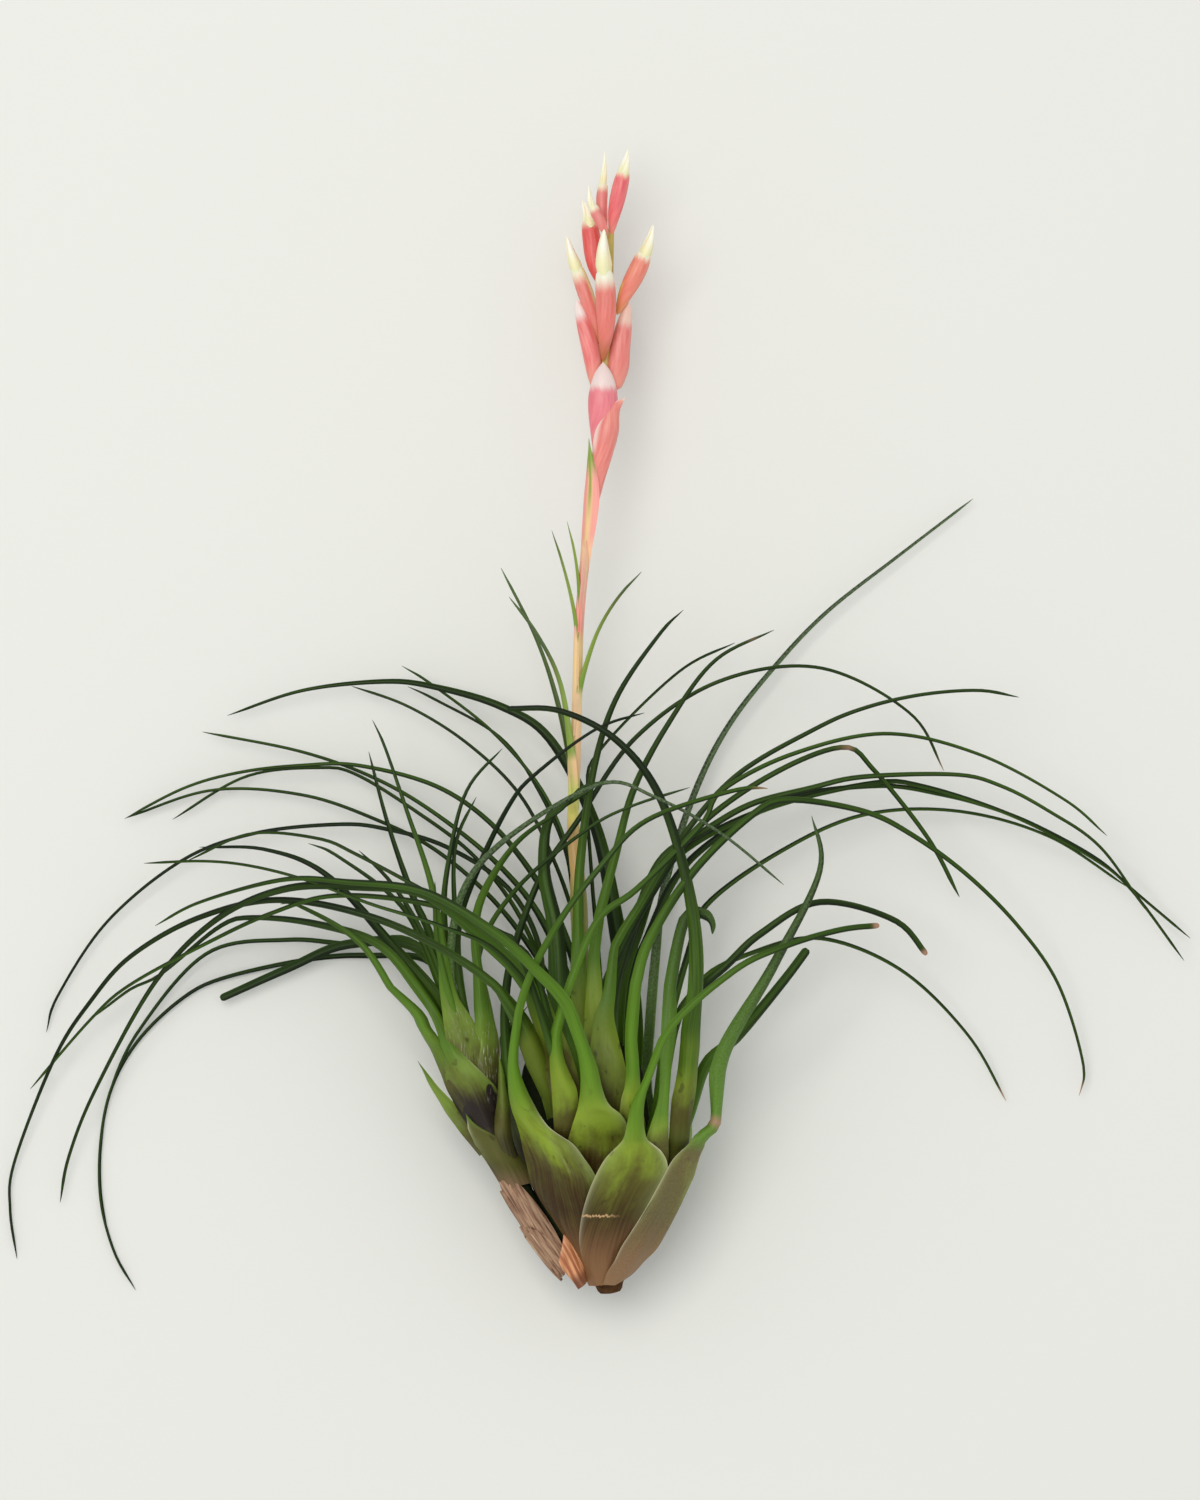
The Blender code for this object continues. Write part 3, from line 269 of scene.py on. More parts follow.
class Skin:
    """Collects rings, the masks at their vertices and their UV map, and makes them one piece."""

    def __init__(self):
        self.points, self.flat, self.masks, self.faces, self.count = [], [], [], [], 0

    def add(self, rings, uv, **masks):
        """rings is rows x columns x 3 in millimetres. Vertex (r, c) joins (r, c+1) and (r+1, c), and
        the first and last ring are closed by fans on their own middle points."""
        rows, columns = rings.shape[:2]
        index = np.arange(rows * columns).reshape(rows, columns) + self.count
        after = np.roll(index, -1, axis=1)
        quads = np.stack([index[:-1], after[:-1], after[1:], index[1:]], axis=-1).reshape(-1, 4)
        self.count += rows * columns + 2
        middles = [np.full(columns, self.count + end) for end in (-2, -1)]
        fans = np.vstack([np.stack([after[0], index[0], middles[0]], axis=1),
                          np.stack([index[-1], after[-1], middles[1]], axis=1)])
        self.faces += quads.tolist() + fans.tolist()
        self.points.append(with_ends(rings))
        self.flat.append(with_ends(uv))
        self.masks.append({name: with_ends(np.broadcast_to(values, (rows, columns)).astype(float)[..., None])
                           for name, values in masks.items()})

    def finish(self, name, material, slot, node):
        """Makes the piece, rides it on the root and lets it stand for its solid."""
        mesh = bpy.data.meshes.new(name)
        points = np.vstack(self.points)
        points[:, 2] = np.maximum(points[:, 2], 0.0)
        mesh.from_pydata((points * MM).tolist(), [], self.faces)
        corner_of = np.empty(len(mesh.loops), dtype=np.int32)
        mesh.loops.foreach_get("vertex_index", corner_of)
        mesh.uv_layers.new(name="millimetres").data.foreach_set("uv", np.vstack(self.flat)[corner_of].ravel())
        for mask in self.masks[0]:
            values = np.vstack([group[mask] for group in self.masks])
            mesh.attributes.new(mask, "FLOAT", "POINT").data.foreach_set("value", values.ravel())
        mesh.materials.append(material)
        mesh.shade_smooth()
        mesh.set_sharp_from_angle(angle=math.radians(SHARP_ANGLE))
        mesh.validate()
        piece = bpy.data.objects.new(name, mesh)
        scene.collection.objects.link(piece)
        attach(piece, "root")
        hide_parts(node)
        print(name, len(mesh.vertices), "vertices,", len(mesh.polygons), "faces")


print("skins ready")

# %% [markdown]
# ## One leaf
# The sheath is a spoon that clasps the bulb. Where it ends, its thin pale lips draw in to shoulders and
# the blade goes on as a narrow gutter that tapers to a point over its whole length. A flat strip bent with
# modifiers can't change its section on the way. So a section is given by three points, its left edge, its
# middle and its right edge, and a parabola runs through them. The leaves that show at the front have their
# sheath's outline drawn, and it is laid on the bulb.

# %% The bulbs that the sheaths lie on
# (height of the bulb's middle, rows of height along Y, middle in X, half width, half depth)
MAIN_BULB = (19, ((-31, -0.7, 3, 3), (-28.6, -0.5, 4.4, 4.4), (-23.1, 0.4, 8.8, 8.8), (-16.5, 0.5, 13.1, 12.8),
    (-12.1, 0.5, 15.6, 15), (-7.7, 0.5, 17.8, 16.5), (-3.3, 0.7, 19.3, 17.5), (1.1, 0.9, 20.6, 18.3),
    (5.5, 1.1, 22, 19), (12.1, 1.1, 23.5, 20), (40, 1.1, 24, 21)))
OFFSET_BULB = (18.2, ((-11.5, -18.8, 3, 3), (-7.7, -21.3, 3.1, 3.4), (-3.3, -23.8, 4, 3.8),
    (1.1, -26.2, 4.1, 4.2), (5.5, -28.4, 4, 4.6), (9.9, -29.3, 4.9, 5.4), (14.3, -30.7, 6.3, 6.2),
    (18.7, -31.4, 7, 6.4), (23.1, -32.8, 8.1, 6.2), (31, -35, 9, 5.6)))


def bulb_height(x, y, bulb):
    """Height of the bulb's upper face at (x, y): middle + half depth * sqrt(1 - (offset / half width)^2)."""
    middle, rows = bulb
    heights, *columns = np.array(rows).T
    centre, wide, deep = (np.interp(y, heights, column) for column in columns)
    return middle + deep * np.sqrt(1 - np.minimum(((x - centre) / wide) ** 2, 0.98))


print("top of the main bulb:", round(float(bulb_height(0.9, 1.1, MAIN_BULB)), 1), "mm")

# %% Sections of a plain leaf
BLADE_ARC = 1.05             # half the arc of a blade's section, in radians
BLADE_GAIN = 1.06            # blades come out this much wider than listed, which makes up for their arc
LEAST_TIP = 0.5
BASE_GAIN = 0.55             # a blade is broader near its foot
BASE_GAIN_LENGTH = 95.0
FOOT_WIDTH = 0.35            # a sheath's foot, as a share of its greatest width
SECTION_STEP = 4             # every fourth sample of the middle line gets a section


def leaf_widths(travelled, blade, tip, sheath, sheath_length, taper):
    """Half width along the leaf: the tip's plus (blade - tip) times the remaining share to the power
    `taper`. In the sheath the half width grows to its own, and `share` says how far it is sheath."""
    left = 1 - travelled / travelled[-1]
    half = BLADE_GAIN * (max(tip, LEAST_TIP) + (blade - tip) * left ** taper) / 2
    half = half * (1 + BASE_GAIN * (1 - smooth_step(travelled / BASE_GAIN_LENGTH)))
    share = np.zeros_like(travelled)
    if sheath:
        share = 1 - smooth_step((travelled / sheath_length - 0.55) / 0.5)
        foot = FOOT_WIDTH + (1 - FOOT_WIDTH) * smooth_step(travelled / (0.6 * sheath_length))
        half = half + share * foot * (sheath / 2 - blade / 2)
    return half, share


def leaf_sections(spec, axis, look):
    """Rows of (middle, left edge, right edge, sheath share) from the middle line and the widths. A leaf
    without a sheath of its own starts deeper, inside the bulb."""
    name, blade, tip, sheath, sheath_length, points = spec
    foot = np.subtract(points[0], (0, 0, 0 if sheath else look["drop"]))
    line = smooth_line([foot, *points[1:]])
    along, outward, across, reach = leaf_frame(line, axis, sheath_length, look["ease"])
    half, share = leaf_widths(distances_along(line), blade, tip, sheath, sheath_length, look["taper"])
    half = half * (share + (1 - share) * BLADE_ARC / math.sin(BLADE_ARC))
    curl = share / np.maximum(reach, LEAST_REACH) + (1 - share) * BLADE_ARC / half
    sideways = across * (np.sin(half * curl) / curl)[:, None]
    inward = outward * ((np.cos(half * curl) - 1) / curl)[:, None]
    return np.hstack([line, line - sideways + inward, line + sideways + inward, share[:, None]])[::SECTION_STEP]


print("a blade's section is an arc of", round(math.degrees(2 * BLADE_ARC)), "degrees")

# %% Sections of a drawn sheath
EDGE_DROP = -0.02      # an edge lies lower than the middle by this share of the width, or more
STEEPEST = 0.475       # and by this share of the width at most
JOIN_GAP = 7.0
TABLE_STEP = 0.4


def spoon_sections(bulb, layer, rows, rise=EDGE_DROP):
    """Rows like those above, from a drawn outline: (left x, y, right x, y) and the middle's height, or
    none where the middle lies on the bulb. `layer` is how far the sheath stands off it."""
    lx, ly, rx, ry = np.array([row[:4] for row in rows]).T
    mx, my = (lx + rx) / 2, (ly + ry) / 2
    wide = np.hypot(rx - lx, ry - ly)
    on_bulb = [bulb_height(x, y, bulb) + layer for x, y in ((mx, my), (lx, ly), (rx, ry))]
    mz = np.array([row[4] if len(row) > 4 else height for row, height in zip(rows, on_bulb[0])])
    left_z, right_z = (mz + np.clip(height - mz, -STEEPEST * wide, highest * wide)
                       for height, highest in zip(on_bulb[1:], (rise, EDGE_DROP)))
    widest = int(np.argmax(wide))
    share = smooth_step((wide - wide[-1]) / (0.5 * (wide[widest] - wide[-1])))
    share[:widest] = 1.0
    return np.column_stack([mx, my, mz, lx, ly, left_z, rx, ry, right_z, share])


def whole_leaf(spec, axis, look, spoon, bulb):
    """Closely spaced sections of sheath and blade. A drawn sheath comes first where there is one, and the
    blade goes on from a gap past its last row, which the curve bridges."""
    sections = leaf_sections(spec, axis, look)
    if spoon:
        drawn = spoon_sections(bulb, *spoon)
        nearest = int(np.argmin(np.linalg.norm(sections[:, :3] - drawn[-1, :3], axis=1)))
        start = nearest + int(np.searchsorted(distances_along(sections[nearest:]), JOIN_GAP))
        sections = np.vstack([drawn, sections[start:]])
    return smooth_line(sections, TABLE_STEP)


print("drawn sheaths join their blades over", JOIN_GAP, "mm")

# %% Words for a leaf's look
# ease: how far the blade turns its face up; taper: the power its width falls by; drop: how deep a leaf
# without a sheath starts; blunt: a cut end; tone: lighter above 0; grey, shade: shares of wax and of shadow;
# age: more olive above 0; stain: (how far up the sheath, how strong); scurf: woolly scales; crack: a torn
# line; scar: (x, y) of a dry spot; dried, tip_dry: dryness of the sheath and of the tip; lips: strength of
# the pale lip (left, right); lip_from: where along the sheath each lip starts
PLAIN_LOOK = dict(ease=1, taper=1.4, drop=7, blunt=False, tone=0, grey=0, shade=0, age=0, stain=(0.35, 0.6),
                  scurf=0, crack=0, scar=None, dried=0, tip_dry=0, lips=(0.5, 0.5), lip_from=(0.6, 0.6))
SCAR_SIZE = 0.9
YOUNG_LENGTH = 55.0    # past the sheath, the blade's bright foot takes this long to darken


def leaf_masks(look, middle, u, rows, to_tip, share, sheath_length):
    """What the finish reads, from 0 to 1 as a rule: `up` is the share of the sheath's length from its foot,
    u runs from -1 at the left edge to 1 at the right one."""
    up = rows / max(sheath_length, 1.0)
    in_sheath = float(sheath_length > 0)
    stain_reach, stain = look["stain"]
    lip, lip_from = (np.where(u < 0, *look[word]) for word in ("lips", "lip_from"))
    tip = look["tip_dry"] * (1 - smooth_step((to_tip - 0.6) / (1.4 if look["blunt"] else 4.0)))
    spot = 0.0
    if look["scar"]:
        spot = np.exp(-(np.linalg.norm(middle[..., :2] - look["scar"], axis=-1) / SCAR_SIZE) ** 2)
    return {
        "across": u, "sheath": share, "tone": look["tone"], "grey": look["grey"], "shade": look["shade"],
        "foot": in_sheath * (1 - smooth_step(up / 0.9) + look["age"]),
        "stain": in_sheath * stain * (1 - smooth_step((up - 0.4 * stain_reach) / (0.6 * stain_reach))),
        "scurf": look["scurf"] * smooth_step(up / 0.3) * (1 - smooth_step((up - 0.6) / 0.4)),
        "young": 1 - smooth_step((rows - sheath_length) / YOUNG_LENGTH),
        "lip": lip * smooth_step((share - 0.5) / 0.4) * np.abs(u) ** 16 * smooth_step((up - lip_from) / 0.2),
        "margin": lip * smooth_step(share / 0.5) * np.abs(u) ** 4 * smooth_step((up - 0.3) / 0.3),
        "crack": look["crack"] * (1 - smooth_step((u + 0.2) / 0.5)),
        "dry": np.maximum(tip, spot + look["dried"] * share),
    }


print("a plain leaf:", PLAIN_LOOK)

# %% A leaf from its sections
SHEATH_THICKNESS = (0.55, 0.14)   # at the middle and at the edges
BLADE_THICKNESS = (0.62, 0.2)
BLADE_THINNEST = (0.62, 0.3)      # or this share of the blade's half width, where that is less
POINT_LENGTH = 5.0
POINT_ROWS = 12
ROW_STEP = (0.8, 1.8)             # between rows, in the sheath and in the blade
WAVE_DEPTH = 0.035                # a sheath's face is not quite even
LIP_RISE = 0.25
UV_SPREAD = 400                   # each leaf reads another place of the noise
TONE_SPREAD = 0.15


def leaf_rows(travelled, share):
    """The distances of the rows, closest in the sheath and at the point, and the sheath's length."""
    length = travelled[-1]
    sheath_length = float(travelled[np.flatnonzero(share > 0.04)[-1]]) if share.max() > 0.1 else 0.0
    count = max(3, round((length - POINT_LENGTH - sheath_length) / ROW_STEP[1]))
    blade_rows = np.linspace(sheath_length, length - POINT_LENGTH, count)
    tip_rows = length - POINT_LENGTH * (1 - np.linspace(0.0, 1.0, POINT_ROWS)[1:]) ** 1.4
    rows = np.concatenate([blade_rows, tip_rows]).clip(0.0)
    return np.unique(np.concatenate([np.arange(0.0, sheath_length, ROW_STEP[0]), rows])), sheath_length


def doubled(values, shape):
    """What the outer face has, and the same mirrored for the inner face."""
    values = np.broadcast_to(values, shape)
    return np.concatenate([values, values[:, ::-1]], axis=1)


def add_leaf(skin, spec, axis, rng, spoon=None, bulb=None, **words):
    """Point (s, u) = M + u (R - L) / 2 + u^2 ((L + R) / 2 - M) for the section (M, L, R) at distance s
    along the leaf, with half the thickness added along the normal on either side."""
    look = {**PLAIN_LOOK, **words}
    table = whole_leaf(spec, axis, look, spoon, bulb)
    travelled = distances_along(table)
    rows, sheath_length = leaf_rows(travelled, np.clip(table[:, 9], 0, 1))
    at = sample(table, travelled, rows)[:, None]
    rows, to_tip = rows[:, None], (travelled[-1] - rows)[:, None]
    middle, left, right, share = at[..., :3], at[..., 3:6], at[..., 6:9], np.clip(at[..., 9], 0, 1)
    if look["blunt"]:
        close = np.sqrt(np.clip(to_tip / 0.8 + 0.25, 0, 1))
    else:
        close = np.clip(to_tip / POINT_LENGTH + 0.02, 0, 1) ** 0.6
    sheath = spec[3]
    columns = 21 if sheath > 9 or spoon else 11 if sheath > 3 else 9
    u = np.sin(np.linspace(-1, 1, columns) * math.pi / 2)[None, :]
    w = (u * close)[..., None]
    centre = middle + w * (right - left) / 2 + w ** 2 * ((left + right) / 2 - middle)
    half = np.linalg.norm(right - left, axis=2) / 2 * close
    normal = unit(np.cross(np.gradient(centre, axis=1), np.gradient(centre, rows[:, 0], axis=0)))
    phase = rng.uniform(0, 6.28, 3)[0]
    wave = WAVE_DEPTH * half * share * np.sin(u * 5 + rows * 0.22 + phase)
    lift = LIP_RISE * np.where(u < 0, *look["lips"]) * share * np.abs(u) ** 8
    centre = centre + normal * (wave + lift)[..., None]
    mid_thick, edge_thick = (share * sheath_thick + (1 - share) * np.minimum(blade_thick, thinnest * half)
                             for sheath_thick, blade_thick, thinnest
                             in zip(SHEATH_THICKNESS, BLADE_THICKNESS, BLADE_THINNEST))
    thick = edge_thick + (mid_thick - edge_thick) * (1 - u ** 2)
    faces = [centre + side * normal * (thick / 2)[..., None] for side in (1, -1)]
    flat = np.stack([doubled(u * half, thick.shape), doubled(rows, thick.shape)], axis=-1)
    flat = flat + rng.uniform(0, UV_SPREAD, 2)
    masks = leaf_masks(look, middle, u, rows, to_tip, share, sheath_length)
    masks["tone"] += rng.uniform(-TONE_SPREAD, TONE_SPREAD)
    skin.add(np.concatenate([faces[0], faces[1][:, ::-1]], axis=1), flat,
             **{name: doubled(values, thick.shape) for name, values in masks.items()})


print("leaf surface ready")

# %% [markdown]
# ## Leaf finish
# The leaves are living tissue with a thin wax coat: dark green, slightly grey from tiny scales, and dull
# rather than glossy. Fine veins run along them, and young tissue at the foot of the blade is a brighter
# yellow-green. The sheaths go from green through olive to purple-brown and tan at the foot, and their lips
# are a thin dry membrane, almost white. It could be a painted picture for each leaf. Layers of colour
# serve all sixty leaves and never stretch: one tint over the last, each with the share of the surface that
# it covers. The shares are read from the mesh's masks, which follow a leaf wherever it bends, and from
# noise, which breaks their edges.


# %% Layers of colour
def share_of(tree, *factors):
    """The product of its factors: numbers, sockets, names of masks, or one of these with two edges, which
    is 0 at the first edge, 1 at the second and smooth between them."""
    total = None
    for factor in factors:
        if isinstance(factor, tuple):
            factor = add_node(tree, "MapRange", dict(enumerate(factor)), interpolation_type="SMOOTHSTEP")
        if total is not None:
            factor = add_node(tree, "Math", {0: total, 1: factor}, operation="MULTIPLY")
        total = factor
    return total


def paint(tree, colour, *layers):
    """Lays tints over a colour, one by one. A layer is its tint and the factors of its share."""
    for tint, *factors in layers:
        colour = add_node(tree, "Mix", {0: share_of(tree, *factors), 6: colour, 7: tint}, 2, data_type="RGBA")
    return colour


def uneven(tree, value, noise, gain):
    """value + (noise - 0.5) * gain, so that an edge read from it wanders."""
    wander = add_node(tree, "Math", {0: noise, 1: gain, 2: -gain / 2}, operation="MULTIPLY_ADD")
    return add_node(tree, "Math", {0: wander, 1: value}, operation="ADD")


def streaks(tree, across, along, detail=3.0, roughness=0.5):
    """Noise on the UV map, which is in millimetres: so many streaks to a millimetre, across and along."""
    flat = add_node(tree, "UVMap", uv_map="millimetres")
    stretched = add_node(tree, "Mapping", {"Vector": flat, "Scale": (across, along, 1.0)})
    return add_node(tree, "TexNoise", {"Vector": stretched, "Scale": 1.0, "Detail": detail,
                                       "Roughness": roughness})


def along_plant(tree):
    """Where a point lies between foot and spike: its Y, in metres."""
    return add_node(tree, "SeparateXYZ", {0: add_node(tree, "TexCoord", output="Object")}, "Y")


def link_finish(tree, colour, relief, strength, depth, **sockets):
    """Links the colour, a bump of the relief that is `depth` millimetres deep, and what else varies."""
    bump = add_node(tree, "Bump", {"Height": relief, "Strength": strength, "Distance": depth * MM})
    shader = tree.nodes["Principled BSDF"]
    for socket, value in {"Base Color": colour, "Normal": bump, **sockets}.items():
        tree.links.new(value, shader.inputs[socket])


print("layers ready")

# %% Leaf material
# in millimetres. Real veins are 0.2 apart and the scales under 0.1, too fine to show, so they are coarser
VEIN_SPACING = 0.55
SCALE_SPACING = 0.35
PATCH_SIZE = 7.0
TEAR_PLACE = -15.4
TEAR_HALF = (0.08, 0.34)


def leaf_material(name, dark, light, young, green, olive, stained, foot_tan, tan_from, tan_to):
    """Veins are noise stretched along the leaf, scales are a fine noise, patches a coarse one. The tan of
    the foot gives way between two heights along Y, in millimetres."""
    material, tree = new_material(name, 0.5, Specular_IOR_Level=0.16)
    veins = streaks(tree, 1 / VEIN_SPACING, 0.035, 3.0, 0.6)
    patches = streaks(tree, 1 / PATCH_SIZE, 0.45 / PATCH_SIZE, 4.0, 0.6)
    scales = streaks(tree, 1 / SCALE_SPACING, 0.6 / SCALE_SPACING, 2.0, 0.7)
    hairs = streaks(tree, 4.0, 0.35, 3.0, 0.6)        # 0.25 mm thick, 3 mm long
    spots = streaks(tree, 0.55, 0.3, 2.0)             # 2 mm wide, 3 mm long
    height = along_plant(tree)
    shade = add_node(tree, "Math", {0: uneven(tree, "tone", veins, 1.6), 1: 0.45}, operation="ADD",
                     use_clamp=True)
    grown = add_node(tree, "Math", {0: 1.0, 1: "young"}, operation="SUBTRACT")
    tissue = paint(tree, green, (olive, (uneven(tree, "foot", patches, 1.5), 0.0, 0.6)))
    mottle = uneven(tree, uneven(tree, "stain", patches, 1.3), veins, 1.1)
    ragged = uneven(tree, height, veins, 6 * MM)
    tear = uneven(tree, height, veins, 2.2 * MM)
    tear_edges = [(tear, (TEAR_PLACE + side * TEAR_HALF[1]) * MM, (TEAR_PLACE + side * TEAR_HALF[0]) * MM)
                  for side in (-1, 1)]
    colour = paint(
        tree, dark, (light, shade),
        # painted shade: one side of each blade's gutter is painted near black, as the side turned from the
        # light
        ("#0B1406", ("across", 0.1, 0.55), 0.75, grown),        # the far side of the gutter
        (young, "young", (shade, -0.6, 0.7)),                   # the foot of the blade
        (tissue, "sheath", 0.9),                                # green to olive sheath
        (stained, (mottle, 0.15, 1.1), "sheath"),               # purple-brown blots
        ("#3B3518", (spots, 0.62, 0.72), "sheath", 0.6),        # small dark spots
        (foot_tan, (ragged, tan_to * MM, tan_from * MM), "sheath", 0.85),
        ("#8C9A80", "grey", (scales, 0.3, 0.75)),               # a coat of grey scales
        ("#B4BC88", (scales, 0.6, 0.82), 0.08),                 # a few scales on every leaf
        ("#D6DACB", "scurf", (hairs, 0.56, 0.74)),              # woolly scales
        ("#8A9660", "margin", 0.7),                             # the sheath thins out
        ("#D6D2AE", "lip", (patches, 0.25, 0.5)),               # its dry rim
        ("#C4A074", *tear_edges, "crack", (scales, 0.3, 0.5)),  # a torn line across the foot
        ("#A8836A", "dry"),
        ("#101A0A", "shade"))                                   # deep among other leaves
    relief = add_node(tree, "Math", {0: scales, 1: 0.25, 2: share_of(tree, veins, 0.75)},
                      operation="MULTIPLY_ADD")
    link_finish(tree, colour, relief, 0.35, 0.12, Roughness=share_of(tree, (scales, -0.4, 1.6)))
    return material


main_leaf = leaf_material("waxy_leaf_tissue", "#121F07", "#3F5F16", "#5C8420", "#879C30", "#564C1E",
                          "#38240E", "#8C6644", -29.0, -14.0)
offset_leaf = leaf_material("young_leaf_tissue", "#101E08", "#385618", "#5A7E24", "#748C34", "#565028",
                            "#2B2420", "#8C6C54", -12.0, -4.0)
print("leaf materials:", main_leaf.name, offset_leaf.name)

# %% [markdown]
# ## The main rosette
# Thirty-odd leaves share one axis. They could be copies of one leaf turned round it, but on the real plant
# no two are alike, so each is listed. An entry gives the blade's width where it leaves the sheath, its width
# at the tip, the sheath's widest width and length, and points along the middle line.

# %% Main rosette's leaves
MAIN_AXIS = ((0.0, -32.0, 19.0), (-2.2, 28.0, 19.0))

